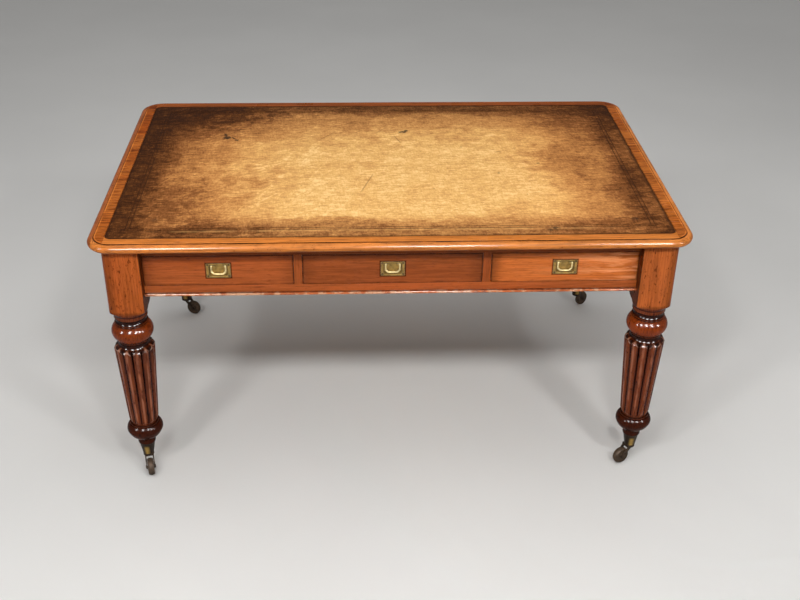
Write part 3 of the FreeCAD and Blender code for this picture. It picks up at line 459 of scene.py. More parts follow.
def top_timber(wood):
    """Bands and mouldings: bright orange mahogany with dirt in the quirk and wear on the nose."""
    finish = Finish("mahogany_top")
    quirk = finish.from_edge(BAND_HIGH.x, BAND_HIGH.y, BAND_CORNER)
    leather = finish.from_edge(LEATHER_HIGH.x, LEATHER_HIGH.y, LEATHER_CORNER)
    end_piece = (abs(finish.x) - EDGE_HIGH.x - abs(finish.y) + EDGE_HIGH.y).above(0)
    on_nose = (0 - quirk).ease(-0.0005, 0.0005)
    across = (end_piece * on_nose).mix(finish.along("x"), finish.along("y"))
    base, streaks, pores = timber(across, wood.band)

    side_band = (abs(finish.x) - LEATHER_HIGH.x).above(0) * (1 - on_nose)
    veneer = (finish.y * LEAVES).math("FLOOR")
    leaf = finish.nodes.add("ShaderNodeTexWhiteNoise", {"noise_dimensions": "1D"}, {"W": veneer})
    leaf_tone = (0.45 + leaf * 0.55) * (0.9 - finish.x * 0.2)
    base = stained(base, side_band * leaf_tone, (0.64, 0.43, 0.18))
    ripple = finish.noise((16, 130, 16), 4, 0.7, 0.4).ease(0.46, 0.6)
    base = stained(base, side_band * ripple * 0.8, (0.36, 0.25, 0.18))

    seam_line = abs(finish.y).near(SEAM, 0.0012, 0.0004)
    base = dirt_and_shade(base, seam_line * side_band, 0.7)
    broken = finish.noise(26, 3, 0.6).ease(0.25, 0.6)
    base = dirt_and_shade(base, abs(leather).ease(0.003, 0.0006) * (0.3 + broken * 0.5))
    # Painted highlights along the arrises on each side of the quirk, broken by noise
    arris_highlight = quirk.near(0.0034, 0.0022, 0.0004) * broken
    arris_highlight = arris_highlight.most(quirk.near(-0.0042, 0.0022, 0.0004) * (1 - broken))
    base = covered(base, arris_highlight * 0.45, shade(wood.band, 1.8))
    # Painted shade and grime in the quirk
    base = dirt_and_shade(base, quirk.near(-0.0004, 0.002, 0.0007) * (0.6 + broken * 0.4), 0.92)

    flecks = finish.along("x").noise((24, 150, 150), 3, 0.65).ease(0.62, 0.72)
    base = stained(base, flecks * 0.65, (0.22, 0.15, 0.12))
    crest = (finish.z - EDGE_LOW.z).ease(0.01, 0.02) * on_nose
    rubbed = finish.noise(9, 4, 0.6).ease(0.4, 0.66)
    base = covered(base, crest * rubbed * 0.45, shade(wood.band, 1.5))
    # Painted shade along the far side of the top and on the nose at its left end
    shaded_far_side = finish.y.ease(0.44, 0.47)
    base = stained(base, shaded_far_side * 0.85, (0.4, 0.26, 0.26))
    shaded_left_nose = finish.x.ease(-0.766, -0.772) * on_nose
    base = stained(base, shaded_left_nose * 0.8, (0.42, 0.28, 0.26))
    chips = finish.noise((90, 120, 120), 3, 0.7).ease(0.63, 0.7) * on_nose
    base = stained(base, chips * 0.7, (0.22, 0.14, 0.11))
    # Painted shade on the underside of the nose
    shade_under_nose = (finish.z - EDGE_LOW.z).ease(0.008, 0.001) * on_nose
    base = dirt_and_shade(base, shade_under_nose, 0.7)
    return polished(finish, base, streaks, pores, wood, coat=0.06 + on_nose * 0.7, haze=0.17)


def drawer_wear(finish, base, smudge, bay):
    """A drawer front's dirt, along its edges and round its handle's plate.

    A faded front is streaked pale towards its right end and stained at its left.
    """
    low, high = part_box(f"drawer_front_front_{bay}")
    from_left = finish.x - low.x
    from_ends = from_left.least(high.x - finish.x)
    if bay == FADED_BAY:
        streaky = finish.along("x").noise((5, 70, 70), 4, 0.65, 0.9).ease(0.44, 0.62)
        toward_end = from_left.ease(0.05, high.x - low.x)
        base = covered(base, streaky * toward_end * FADING, (0.86, 0.33, 0.13))
        base = dirt_and_shade(base, (from_left + (smudge - 0.5) * 0.05).ease(0.03, 0.004), FADING * 0.45)
    outward = abs(finish.y).ease(-high.y, -low.y)
    inset = from_ends.least((finish.z - low.z).least(high.z - finish.z))
    # Each front is darker within a few millimetres of its edges, with a smudged border
    base = dirt_and_shade(base, (inset + (smudge - 0.5) * 0.016).ease(0.0065, 0.0) * outward, 0.5)
    # Painted shade in the gaps round each front
    base = dirt_and_shade(base, inset.ease(0.002, 0.0004) * outward, 0.75)
    # Each front is also darker towards its ends
    base = dirt_and_shade(base, from_ends.ease(0.05, 0.0), 0.28)
    low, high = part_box(f"handle_plate_front_{bay}")
    off_x = abs(finish.x - (low.x + high.x) / 2) - (high.x - low.x) / 2
    off_z = abs(finish.z - (low.z + high.z) / 2) - (high.z - low.z) / 2
    return dirt_and_shade(base, off_x.most(off_z).ease(0.0048, 0.0014) * outward, 0.9)


def board_timber(name, wood, tint, axis, bay=None):
    """A frieze board, or the drawer fronts of a bay: dirty in its gaps and pale along its worn arrises."""
    finish = Finish(name)
    base, streaks, pores = timber(finish.along(axis), tint, 0.2)
    smudge = finish.noise((14, 14, 40), 4, 0.65)
    if bay:
        base = drawer_wear(finish, base, smudge, bay)
    else:
        # Painted shade along the board's top edge, under the overhanging nose
        shade_under_top = finish.z.ease(DRAWER_TOP - 0.001, DRAWER_TOP + 0.004)
        base = dirt_and_shade(base, shade_under_top, 0.5)
    base = dirt_and_shade(base, smudge.ease(0.6, 0.78), 0.35)
    flecks = finish.along(axis).noise((26, 150, 150), 3, 0.65).ease(0.62, 0.73)
    base = stained(base, flecks * 0.36, (0.3, 0.22, 0.18))
    worn = finish.arris(0.0016) * finish.noise(40, 3).ease(0.4, 0.65)
    base = covered(base, worn * 0.5, shade(tint, 1.7))
    facing = finish.nodes.add("ShaderNodeNewGeometry", output="Normal").parts()
    show_face = abs(facing[0 if axis == "y" else 1]).ease(0.6, 0.9)
    # Painted shade on the faces that stand inside the gaps
    shaded_gap_faces = abs(facing[1 if axis == "y" else 0]).ease(0.6, 0.9)
    base = dirt_and_shade(base, shaded_gap_faces, 0.8)
    return polished(finish, base, streaks, pores, wood, coat=show_face * 0.3)


def leg_timber(wood, leg):
    """A leg: orange block with dark flecks above, dark glossy rings and reeds below."""
    finish = Finish(f"mahogany_{leg}")
    axis = middle(leg)
    from_x = finish.x - axis.x
    from_y = finish.y - axis.y
    z = finish.z
    grain = finish.along("z")
    block_tint = wood.pale_block if axis.x > 0 else wood.block
    block_base, streaks, pores = timber(grain, block_tint, 0.26)
    turned_base, _, _ = timber(grain, wood.turning, 0.34)
    ragged = (finish.noise(30, 2) - 0.5) * 0.008
    below = (z + ragged).ease(BLOCK_FOOT + 0.004, BLOCK_FOOT - 0.004)
    base = below.mix(block_base, turned_base)

    flecks = grain.noise((60, 130, 130), 4, 0.7).ease(0.57, 0.68)
    base = stained(base, flecks * 0.75, (0.24, 0.17, 0.14))
    dashes = grain.noise((34, 105, 105), 3, 0.6).ease(0.63, 0.7)
    base = stained(base, dashes * 0.85, (0.2, 0.13, 0.1))
    out_x = from_x * math.copysign(1, axis.x)
    out_y = from_y * math.copysign(1, axis.y)
    # Painted shade on the rounded outer corner of the block
    shaded_outer_corner = (out_x + out_y).ease(0.06, 0.088) * (1 - below)
    base = dirt_and_shade(base, shaded_outer_corner, 0.35)
    # Grime and painted shade on the faces of the block that look inwards
    inner_grime_and_shade = out_x.ease(-0.047, -0.0482).most(out_y.ease(-0.047, -0.0482)) * (1 - below)
    base = dirt_and_shade(base, inner_grime_and_shade, 0.8)
    scuffs = finish.noise((22, 22, 60), 4, 0.7).ease(0.58, 0.76)
    base = dirt_and_shade(base, scuffs, 0.45)
    # The block is darker just above its foot
    skirt = (z + ragged * 0.5).ease(BLOCK_FOOT + 0.012, BLOCK_FOOT + 0.003) * (1 - below)
    base = dirt_and_shade(base, skirt, 0.5)

    ring = z.within(RING_LOW, RING_HIGH, 0.008)
    base = stained(base, ring * 0.8, (1.5, 1.22, 0.6))
    turnings = z.ease(TURNINGS_LOW, TURNINGS_LOW + 0.007) * z.ease(TURNINGS_HIGH, TURNINGS_HIGH - 0.01)
    # Painted shade and grime in the hollows of the turnings, by radius and by occlusion
    shaded_coves = diagonal(from_x, from_y).ease(0.045, 0.0415) * turnings
    base = dirt_and_shade(base, shaded_coves.most(finish.hollow(0.014)), 0.93)

    lobe = from_y.math("ARCTAN2", from_x) * (REEDS / math.tau)
    across = abs(lobe.math("FRACT") - 0.5) * 2
    shaft = z.ease(REED_LOW, REED_LOW + 0.012) * z.ease(REED_HIGH, REED_HIGH - 0.004)
    tip = ((z - REED_TIP) / REED_ARCH).most(0)
    arch = across * across + tip * tip
    # Painted shade down the valleys between the reeds
    shaded_valleys = arch.ease(0.15, 1.0) * shaft
    base = dirt_and_shade(base, shaded_valleys, 0.9)
    worn = finish.noise((60, 60, 16), 3, 0.6).ease(0.34, 0.62)
    # Wear and painted highlight along the crests of the reeds
    crest = across.ease(0.4, 0.05) * shaft * worn
    base = covered(base, crest * 0.72, (0.36, 0.125, 0.06))
    # Wear and painted glints on the arched heads of the reeds
    tips = arch.ease(0.45, 0.62) * arch.ease(0.95, 0.72) * tip.ease(0.2, 0.6) * shaft
    base = covered(base, tips * worn * 0.7, (0.46, 0.25, 0.18))
    # Painted shade lines where the collar meets the block and the cove
    shade_at_fillets = z.near(UPPER_FILLET, 0.0035, 0.001).most(z.near(LOWER_FILLET, 0.003, 0.001))
    base = dirt_and_shade(base, shade_at_fillets, 0.8)
    foot = z.ease(FOOT_RING, FOOT_RING - 0.017)
    base = stained(base, foot * 0.9, (0.22, 0.19, 0.25))
    coat = (0.2 + below * 0.5 - foot * 0.4) * (1 - inner_grime_and_shade)
    return polished(finish, base, streaks, pores, wood, 0.0012, coat, 0.13)


def bead_timber(wood):
    """The bead: rubbed pale along its nose, and dark where it meets the rail."""
    finish = Finish("mahogany_bead")
    end_piece = abs(finish.x).above(END_BEAD)
    grain = end_piece.mix(finish.along("x"), finish.along("y"))
    base, streaks, pores = timber(grain, wood.bead)
    chips = finish.noise(34, 4, 0.7) - finish.x * 0.06
    base = covered(base, chips.ease(0.46, 0.6) * 0.75, (0.68, 0.4, 0.24))
    base = dirt_and_shade(base, chips.ease(0.42, 0.32), 0.6)
    low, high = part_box("bead_mouldings")
    # The bead is darker towards its top, where it meets the rail
    base = dirt_and_shade(base, (finish.z - low.z).ease(0.0066, high.z - low.z), 0.7)
    return polished(finish, base, streaks, pores, wood, coat=0.6)


def dry_timber(name, tint, axis):
    """Unpolished wood: dull, with open grain and a little dust in its corners."""
    finish = Finish(name)
    figure, streaks, pores = grain_tone(finish.along(axis))
    tone = (figure * 0.45 + streaks * 0.55).ease(0.34, 0.66)
    base = tone.mix(paint(shade(tint, 0.72)), paint(shade(tint, 1.22)))
    base = stained(base, pores * 0.4, (0.5, 0.42, 0.36))
    stain = finish.noise(5, 4, 0.6).ease(0.5, 0.75)
    base = stained(base, stain * 0.4, (0.55, 0.45, 0.36))
    # A little dust and painted shade in the corners, by occlusion
    base = dirt_and_shade(base, finish.hollow(0.02), 0.5)
    rough = 0.62 + streaks * 0.2
    height = streaks * 0.5 - pores
    return finish.done(base, rough, 0.1, height=height, depth=0.0003, normal=finish.soft_normal(0.0007))


# Shaded areas of the hide: x, y, half length, half depth and how dark, or below zero how pale
SHADED_AREAS = (
    (-0.15, -0.378, 0.14, 0.03, 0.26), (-0.485, -0.43, 0.12, 0.03, 0.3),
    (0.323, -0.33, 0.08, 0.06, 0.14), (0.525, 0.02, 0.15, 0.14, 0.26),
    (-0.124, -0.011, 0.11, 0.04, 0.1), (-0.66, 0.4, 0.32, 0.16, 0.62),
    (0.7, -0.098, 0.045, 0.08, 0.35), (-0.62, -0.31, 0.11, 0.1, 0.24),
    (0.12, 0.23, 0.3, 0.09, -0.1), (-0.47, -0.09, 0.18, 0.12, -0.16),
    (0.625, 0.04, 0.06, 0.13, -0.16), (0.58, 0.34, 0.18, 0.1, 0.12),
    (-0.68, -0.43, 0.15, 0.09, -0.42), (0.69, -0.44, 0.08, 0.06, -0.3),
    (0.56, -0.16, 0.12, 0.07, 0.16), (0.722, -0.31, 0.028, 0.15, -0.3),
    (-0.69, 0.1, 0.07, 0.26, 0.22), (0.65, -0.25, 0.06, 0.11, 0.2),
    (0.722, 0.1, 0.035, 0.22, -0.34),
)
# Marks on the hide: x and y of the start, x and y of the end, and half the width
SCRATCHES = (
    (-0.08, -0.198, -0.044, -0.077, 0.0034), (-0.204, 0.179, -0.156, 0.243, 0.004),
    (0.027, 0.208, 0.046, 0.152, 0.0036), (-0.028, 0.233, 0.011, 0.291, 0.0026),
    (-0.094, 0.234, -0.072, 0.258, 0.003), (0.325, 0.076, 0.345, 0.084, 0.004),
)
INK_STROKES = (
    (-0.495, 0.236, -0.488, 0.208, 0.0065), (-0.496, 0.208, -0.478, 0.193, 0.012),
    (-0.484, 0.214, -0.475, 0.198, 0.0065), (-0.472, 0.208, -0.46, 0.189, 0.004),
    (-0.461, 0.185, -0.449, 0.181, 0.008), (0.042, 0.236, 0.06, 0.246, 0.0085),
    (0.056, 0.232, 0.069, 0.258, 0.009),
)
# Round spots on the hide: x, y, radius and strength
INK_SPOTS = (
    (-0.487, 0.2, 0.011, 0.9), (0.428, -0.429, 0.016, 0.85), (0.41, -0.44, 0.012, 0.8),
    (0.648, -0.378, 0.014, 0.75), (-0.625, -0.36, 0.014, 0.5), (0.319, -0.076, 0.006, 0.8),
    (0.443, -0.007, 0.008, 0.7), (0.227, 0.117, 0.006, 0.6),
)


def hide(leather):
    """Worn writing leather: pale where it is rubbed, dark towards its edges, with ink and scratches."""
    finish = Finish("leather_hide")
    x, y = finish.x, finish.y
    cloud = finish.noise(4.2, 5, 0.6, 0.4) - 0.5
    uneven = finish.noise((15, 19, 15), 5, 0.65, 0.5) - 0.5
    blotch = finish.noise((26, 30, 30), 3, 0.6, 0.5) - 0.5
    drift = cloud * 0.26 + uneven * 0.12
    inside = finish.from_edge(leather.span / 2, leather.depth / 2, leather.corner)

    clear = 1
    for toward, start, end, depth in (
        (drift - x, 0.2, 0.7, 0.52),
        (drift * 0.5 - x + y * 0.06, 0.59, 0.71, 0.7),
        (drift + x, 0.4, 0.68, 0.34),
        (drift * 0.4 + x, 0.62, 0.705, 0.5),
        (drift * 0.6 + y, 0.06, 0.37, 0.3),
        (drift * 0.3 + y + x * 0.03, 0.355, 0.435, 0.52),
        (drift * 0.4 - y, 0.33, 0.425, 0.42),
    ):
        clear = (1 - toward.ease(start, end) * depth) * clear
    for area_x, area_y, half_x, half_y, depth in SHADED_AREAS:
        away_x = (x - area_x) / half_x
        away_y = (y - area_y) / half_y
        reach = away_x * away_x + away_y * away_y + uneven * 3.2 + blotch * 3.6 + cloud * 0.8
        clear = clear * (1 - reach.ease(1.2, 0.0) * depth)
    burnish = 1 - clear

    grain = finish.noise((46, 90, 80), 5, 0.74, 0.3) - 0.5
    fibre = finish.noise((40, 125, 60), 3, 0.7, 0.3, turn=0.04) - 0.5
    slant = finish.noise((205, 42, 60), 3, 0.66, 0.3, turn=0.12) - 0.5
    fine = finish.noise((200, 125, 150), 2, 0.75, 0.1) - 0.5
    smear = finish.noise((7, 24, 7), 4, 0.6, 0.6) - 0.5
    mottle = grain * 0.3 + fine * 0.36 + blotch * 0.24 + fibre * 0.66 + slant * 0.36 + smear * 0.34
    faded = finish.noise(16, 3, 0.6).ease(0.44, 0.6)
    rubs = finish.score((3, 20, 20), 1.05, 0.04).most(finish.score((4, 26, 20), 0.45, 0.034))
    rubs = rubs * faded * (y * 0.2 - x).ease(-0.1, 0.3)
    cuts = finish.score((5, 24, 20), -0.3, 0.032).most(finish.score((5, 22, 20), 0.9, 0.034))
    cuts = cuts * (1 - faded) * (x + 0.4).ease(0.0, 0.5)
    tone = 0.14 + burnish * 0.87 + cloud * 0.1 + cuts * 0.05 - rubs * 0.1
    tone = tone + mottle * (0.72 + burnish * 0.42)
    stops = [(0.0, leather.pale), (0.14, leather.worn), (0.34, leather.tan), (0.58, leather.brown),
             (0.8, leather.dark), (1.0, leather.burnt)]
    base = finish.nodes.add("ShaderNodeValToRGB", {"stops": stops}, {"Fac": tone})

    ruddy = abs(x).ease(0.22, 0.6) * 0.6
    base = stained(base, ruddy, (1.0, 0.88, 0.8))
    scratches = finish.strokes(SCRATCHES)
    base = covered(base, scratches * 0.5, leather.brown)

    wear = finish.noise(22, 4, 0.7).ease(0.32, 0.58)
    for line in (leather.first_line, leather.second_line):
        pressed = inside.near(line, leather.line_width * 1.5, leather.line_width * 0.4)
        base = covered(base, pressed * (0.34 + wear * 0.45), leather.burnt)
    front_middle = (-0.4 - y).ease(0.0, 0.01) * (1 - abs(x)).ease(0.32, 0.6)
    ridge = inside.near(0.038, 0.0075, 0.0015) * front_middle * wear
    base = covered(base, ridge * 0.35, leather.worn)
    rim = (inside + uneven * 0.01).ease(0.012, 0.0005)
    base = covered(base, rim * 0.75, leather.burnt)

    ragged = finish.noise(70, 4, 0.7)
    for spot_x, spot_y, radius, strength in INK_SPOTS:
        spot = finish.spot(spot_x, spot_y, radius, ragged)
        base = covered(base, spot * strength * ragged.ease(0.36, 0.56), leather.ink)
    base = covered(base, finish.strokes(INK_STROKES) * 0.85, leather.ink)
    speck = finish.noise(120, 2).ease(0.7, 0.76)
    base = covered(base, speck * 0.5, leather.brown)

    pebble = finish.nodes.add("ShaderNodeTexVoronoi", {"feature": "SMOOTH_F1"},
                              {"Vector": finish.place, "Scale": 620.0, "Smoothness": 0.6})
    rough = 0.58 - burnish * 0.14 + uneven * 0.18
    height = pebble * 0.5 + fibre * 0.8 - scratches * 0.8 - rubs * 0.2
    return finish.done(base, rough, 0.02, height=height, depth=0.00025)


def brass(name, tint, metal, hollow_reach, form=None):
    """Old brass, tarnished in hollows and rubbed bright along its arrises.

    A cup is bright in front and behind only, and a plate is dirty round its screws and edges.
    """
    finish = Finish(name)
    cloud = finish.noise(90, 4, 0.6)
    fine = finish.noise(420, 3, 0.6)
    base = cloud.ease(0.3, 0.7).mix(paint(shade(tint, 0.62)), paint(shade(tint, 1.18)))
    if form == "cup":
        aside = abs(abs(finish.x) - middle("leg_front_right").x) + (cloud - 0.5) * 0.006
        base = covered(base, aside.ease(0.001, 0.01), metal.bronze)
        base = covered(base, finish.z.ease(CUP_RIM, CUP_RIM + 0.012), metal.bronze)
    if form == "plate":
        low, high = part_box("handle_plate_front_right")
        centre = middle("handle_plate_front_right")
        off_x = abs(abs(abs(finish.x) - centre.x / 2) - centre.x / 2) - (high.x - low.x) / 2
        off_z = abs(finish.z - centre.z) - (high.z - low.z) / 2
        screw_inset = 0.0042
        round_screws = diagonal(off_x + screw_inset, off_z + screw_inset).ease(0.0038, 0.0022)
        base = dirt_and_shade(base, round_screws, 0.9)
        base = dirt_and_shade(base, off_x.most(off_z).ease(-0.0016, -0.0002), 0.5)
    base = covered(base, finish.hollow(hollow_reach) * 0.6, metal.tarnish)
    base = covered(base, finish.arris(0.0006) * 0.55, shade(metal.rubbed, 1.05))
    rough = 0.36 + cloud * 0.16 + fine * 0.06
    return finish.done(base, rough, 0.2, metal=0.3, height=fine * 0.5 + cloud * 0.5, depth=0.00012,
                       normal=finish.soft_normal(0.0005))


def cast_metal(name, tint, pale):
    """Dark casting with a dull skin, rubbed pale on its edges."""
    finish = Finish(name)
    skin = finish.noise(160, 4, 0.7)
    rust = finish.noise(60, 4, 0.6).ease(0.45, 0.7)
    base = skin.ease(0.3, 0.7).mix(paint(shade(tint, 0.6)), paint(shade(tint, 1.35)))
    base = covered(base, rust * 0.5, (0.1, 0.055, 0.03))
    # Grime and painted shade in the hollows, by occlusion
    base = dirt_and_shade(base, finish.hollow(0.008), 0.7)
    base = covered(base, finish.arris(0.0008) * 0.5, pale)
    rough = 0.42 + skin * 0.25
    return finish.done(base, rough, 0.08, metal=0.15, height=skin, depth=0.0003,
                       normal=finish.soft_normal(0.0007))


def give(material, names):
    """Put a material on CAD nodes."""
    for name in names:
        mesh = NODES[name].data
        mesh.materials.clear()
        mesh.materials.append(material)


def on_drawers(part):
    """Names of one part of the six drawers."""
    return [f"{part}_{side}_{bay}" for side in SIDES for bay in BAYS]


def node_group(name, sizes):
    """A geometry tree with named inputs, as its builder and its inputs."""
    tree = bpy.data.node_groups.new(name, "GeometryNodeTree")
    tree.interface.new_socket("Geometry", in_out="OUTPUT", socket_type="NodeSocketGeometry")
    tree.interface.new_socket("Geometry", in_out="INPUT", socket_type="NodeSocketGeometry")
    for label, value in sizes.items():
        kind = "NodeSocketInt" if isinstance(value, int) else "NodeSocketFloat"
        tree.interface.new_socket(label, in_out="INPUT", socket_type=kind).default_value = value
    tree.interface.new_socket("Material", in_out="INPUT", socket_type="NodeSocketMaterial")
    nodes = Nodes(tree)
    source = nodes.add("NodeGroupInput").socket.node
    inputs = {out.name: Wire(nodes, out) for out in source.outputs if out.name}
    return nodes, inputs


def close_group(nodes, geometry, material):
    """End a geometry tree in real faces with their material."""
    real = nodes.add("GeometryNodeRealizeInstances", None, {0: geometry})
    painted = nodes.add("GeometryNodeSetMaterial", None, {"Geometry": real, "Material": material})
    nodes.add("NodeGroupOutput", None, {0: painted})


def grown(name, nodes, mesh, values):
    """Run a geometry tree on a mesh, and return its result as a plain object at the origin."""
    collection = bpy.context.scene.collection
    source = bpy.data.objects.new(name + "_source", mesh)
    collection.objects.link(source)
    modifier = source.modifiers.new("Shape", "NODES")
    modifier.node_group = nodes.tree
    for socket in nodes.tree.interface.items_tree:
        if socket.in_out == "INPUT" and socket.name in values:
            modifier[socket.identifier] = values[socket.name]
    graph = bpy.context.evaluated_depsgraph_get()
    result = bpy.data.meshes.new_from_object(source.evaluated_get(graph))
    result.name = name
    bpy.data.objects.remove(source)
    piece = bpy.data.objects.new(name, result)
    collection.objects.link(piece)
    return piece


def hide_tree(sizes):
    """A hide as rings of a rounded rectangle, from its edge inwards, with tooled lines pressed in."""
    nodes, value = node_group("HideRings", sizes)
    ring_points = 400
    top_rows = 150
    grid = {"Size X": 1.0, "Size Y": 1.0, "Vertices X": ring_points + 1}
    upper = nodes.add("GeometryNodeMeshGrid", None, {**grid, "Vertices Y": top_rows})
    lower = nodes.add("GeometryNodeMeshGrid", None, {**grid, "Vertices Y": 2})
    lower = nodes.add("GeometryNodeTransform", None, {"Geometry": lower, "Translation": (0, -1, 0)})
    sheets = nodes.add("GeometryNodeJoinGeometry", None, {0: [upper, lower]})
    u, v, _ = nodes.add("GeometryNodeInputPosition").parts()
    turn = (u + 0.5) * 4
    row = v + 0.5

    side = turn.math("FLOOR")
    run = turn - side
    crowding = 0.85
    crowded = run + (run.ease(0, 1) - run) * crowding
    step = side + crowded
    half_x, half_y = value["Length"] / 2, value["Depth"] / 2
    border, share_of_rows = 0.06, 0.62
    fine_rows = (row / share_of_rows).least(1) * border
    wide_rows = ((row - share_of_rows) / (1 - share_of_rows)).most(0) * (half_y - border)
    top_side = row.above(-0.0001)
    inset = top_side * (fine_rows + wide_rows) - (1 - top_side) * row * half_y

    def round_the_square(start):
        """A wave that runs from -1 to 1 along one side of a square and rests along the next."""
        swing = abs((start + 2.5).math("MODULO", 4.0) - 2) - 1
        return (swing * 2).least(1).most(-1)

    flat_x = round_the_square(step) * (half_x - inset)
    flat_y = round_the_square(step + 3) * (half_y - inset)
    corner = value["Corner Radius"]
    over_x = abs(flat_x) - (half_x - corner)
    over_y = abs(flat_y) - (half_y - corner)
    in_corner = over_x.least(over_y).above(0.00001)
    square = over_x * over_x + over_y * over_y + 0.000000001
    pull = in_corner * (over_x.most(over_y) / square.math("SQRT") - 1)
    x = flat_x + flat_x.math("SIGN") * over_x * pull
    y = flat_y + flat_y.math("SIGN") * over_y * pull

    level = nodes.add("ShaderNodeCombineXYZ", None, {0: x, 1: y, 2: 0.0})
    swell = nodes.add("ShaderNodeTexNoise", {"noise_dimensions": "4D"},
                      {"Vector": level, "W": value["Seed"] * 1.37, "Scale": 9.0, "Detail": 2.0})
    dip = 0
    for line in ("First Line", "Second Line"):
        off = abs(inset - value[line]) / value["Line Width"]
        dip = (1 - off.ease(0, 1)) * value["Line Depth"] + dip
    skived = inset.ease(0.005, 0) * 0.0005
    top = value["Thickness"] - value["Ripple"] + (swell - 0.5) * 2 * value["Ripple"] - dip - skived
    lifted = row.above(0.5 / top_rows)
    place = nodes.add("ShaderNodeCombineXYZ", None, {0: x, 1: y, 2: value["Bed"] + lifted * top})
    shaped = nodes.add("GeometryNodeSetPosition", None, {"Geometry": sheets, "Position": place})
    closed = nodes.add("GeometryNodeMergeByDistance", None, {"Geometry": shaped, "Distance": 0.00002})
    smooth = nodes.add("GeometryNodeSetShadeSmooth", None, {"Geometry": closed})
    close_group(nodes, smooth, value["Material"])
    return nodes


def screw_tree(sizes):
    """A slotted round head on each point, facing along the point's own direction."""
    nodes, value = node_group("CupScrews", sizes)
    head = value["Head"]
    ball = nodes.add("GeometryNodeMeshUVSphere", None, {"Segments": 20, "Rings": 12, "Radius": head / 2})
    squash = nodes.add("ShaderNodeCombineXYZ", None, {0: 1.0, 1: 1.0, 2: value["Rise"] * 2 / head})
    dome = nodes.add("GeometryNodeTransform", None, {"Geometry": ball, "Scale": squash})
    slit_size = nodes.add("ShaderNodeCombineXYZ", None, {0: head * 2, 1: value["Slot"], 2: value["Rise"]})
    slit = nodes.add("GeometryNodeMeshCube", None, {"Size": slit_size})
    lift = nodes.add("ShaderNodeCombineXYZ", None, {0: 0.0, 1: 0.0, 2: value["Rise"]})
    slit = nodes.add("GeometryNodeTransform", None, {"Geometry": slit, "Translation": lift})
    slotted = nodes.add("GeometryNodeMeshBoolean", {"operation": "DIFFERENCE"}, {0: dome, 1: slit})
    facing = nodes.add("GeometryNodeInputNamedAttribute", {"data_type": "FLOAT_VECTOR"}, {"Name": "facing"})
    turn = nodes.add("FunctionNodeAlignRotationToVector", {"axis": "Z"}, {"Vector": facing})
    limits = {2: 0.0, 3: math.pi, "Seed": value["Seed"]}
    twist = nodes.add("FunctionNodeRandomValue", {"data_type": "FLOAT"}, limits, 1)
    spin = nodes.add("FunctionNodeAxisAngleToRotation", None, {"Axis": (0, 0, 1), "Angle": twist})
    turn = nodes.add("FunctionNodeRotateRotation", {"rotation_space": "LOCAL"},
                     {"Rotation": turn, "Rotate By": spin})
    sockets = {"Points": value["Geometry"], "Instance": slotted, "Rotation": turn}
    heads = nodes.add("GeometryNodeInstanceOnPoints", None, sockets)
    close_group(nodes, heads, value["Material"])
    return nodes


class DESK_OT_lay_leather(bpy.types.Operator):
    """Lay the tooled hide in its frame of bands"""

    bl_idname = "desk.lay_leather"
    bl_label = "Lay the leather"

    def execute(self, context):
        leather = context.scene.desk_leather
        sizes = {"Length": leather.span, "Depth": leather.depth, "Thickness": leather.thickness,
                 "Corner Radius": leather.corner, "First Line": leather.first_line,
                 "Second Line": leather.second_line, "Line Width": leather.line_width,
                 "Line Depth": leather.line_sink, "Ripple": leather.ripple, "Bed": LEATHER_LOW.z,
                 "Seed": leather.seed}
        empty = bpy.data.meshes.new("hide_start")
        piece = grown("leather_hide", hide_tree(sizes), empty, {**sizes, "Material": hide(leather)})
        if not piece.data.polygons:
            raise RuntimeError("the hide has no faces")
        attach(piece, ROOT)
        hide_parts("leather_inset")
        return {"FINISHED"}


class DESK_OT_polish_top(bpy.types.Operator):
    """Polish the bands and mouldings of the top"""

    bl_idname = "desk.polish_top"
    bl_label = "Polish the top"

    def execute(self, context):
        give(top_timber(context.scene.desk_wood), ["crossbanding", "edge_mouldings"])
        return {"FINISHED"}


class DESK_OT_polish_frieze(bpy.types.Operator):
    """Polish the rails, uprights, end boards and bead"""

    bl_idname = "desk.polish_frieze"
    bl_label = "Polish the frieze"

    def execute(self, context):
        wood = context.scene.desk_wood
        rails = [f"{side}_{name}_rail" for side in SIDES for name in ("top", "bottom")]
        give(board_timber("mahogany_rails", wood, shade(wood.frieze, 1.05), "x"), rails)
        give(board_timber("mahogany_uprights", wood, shade(wood.frieze, 0.82), "z"), ["muntins"])
        give(board_timber("mahogany_ends", wood, wood.frieze, "y"), ["end_apron_left", "end_apron_right"])
        give(bead_timber(wood), ["bead_mouldings"])
        return {"FINISHED"}


class DESK_OT_polish_drawers(bpy.types.Operator):
    """Polish the drawer fronts and line the drawers"""

    bl_idname = "desk.polish_drawers"
    bl_label = "Polish the drawers"

    def execute(self, context):
        wood = context.scene.desk_wood
        tints = {"left": wood.frieze, "middle": shade(wood.frieze, 0.78), "right": wood.pale_drawer}
        for bay, tint in tints.items():
            fronts = [f"drawer_front_{side}_{bay}" for side in SIDES]
            give(board_timber(f"mahogany_drawer_{bay}", wood, tint, "x", bay), fronts)
        give(dry_timber("drawer_sides", wood.lining, "y"), on_drawers("drawer_sides"))
        give(dry_timber("drawer_bottoms", shade(wood.lining, 0.92), "x"), on_drawers("drawer_bottom"))
        return {"FINISHED"}


class DESK_OT_polish_legs(bpy.types.Operator):
    """Polish the blocks, rings and reeds of the legs"""

    bl_idname = "desk.polish_legs"
    bl_label = "Polish the legs"

    def execute(self, context):
        for corner in CORNERS:
            leg = f"leg_{corner}"
            give(leg_timber(context.scene.desk_wood, leg), [leg])
        return {"FINISHED"}


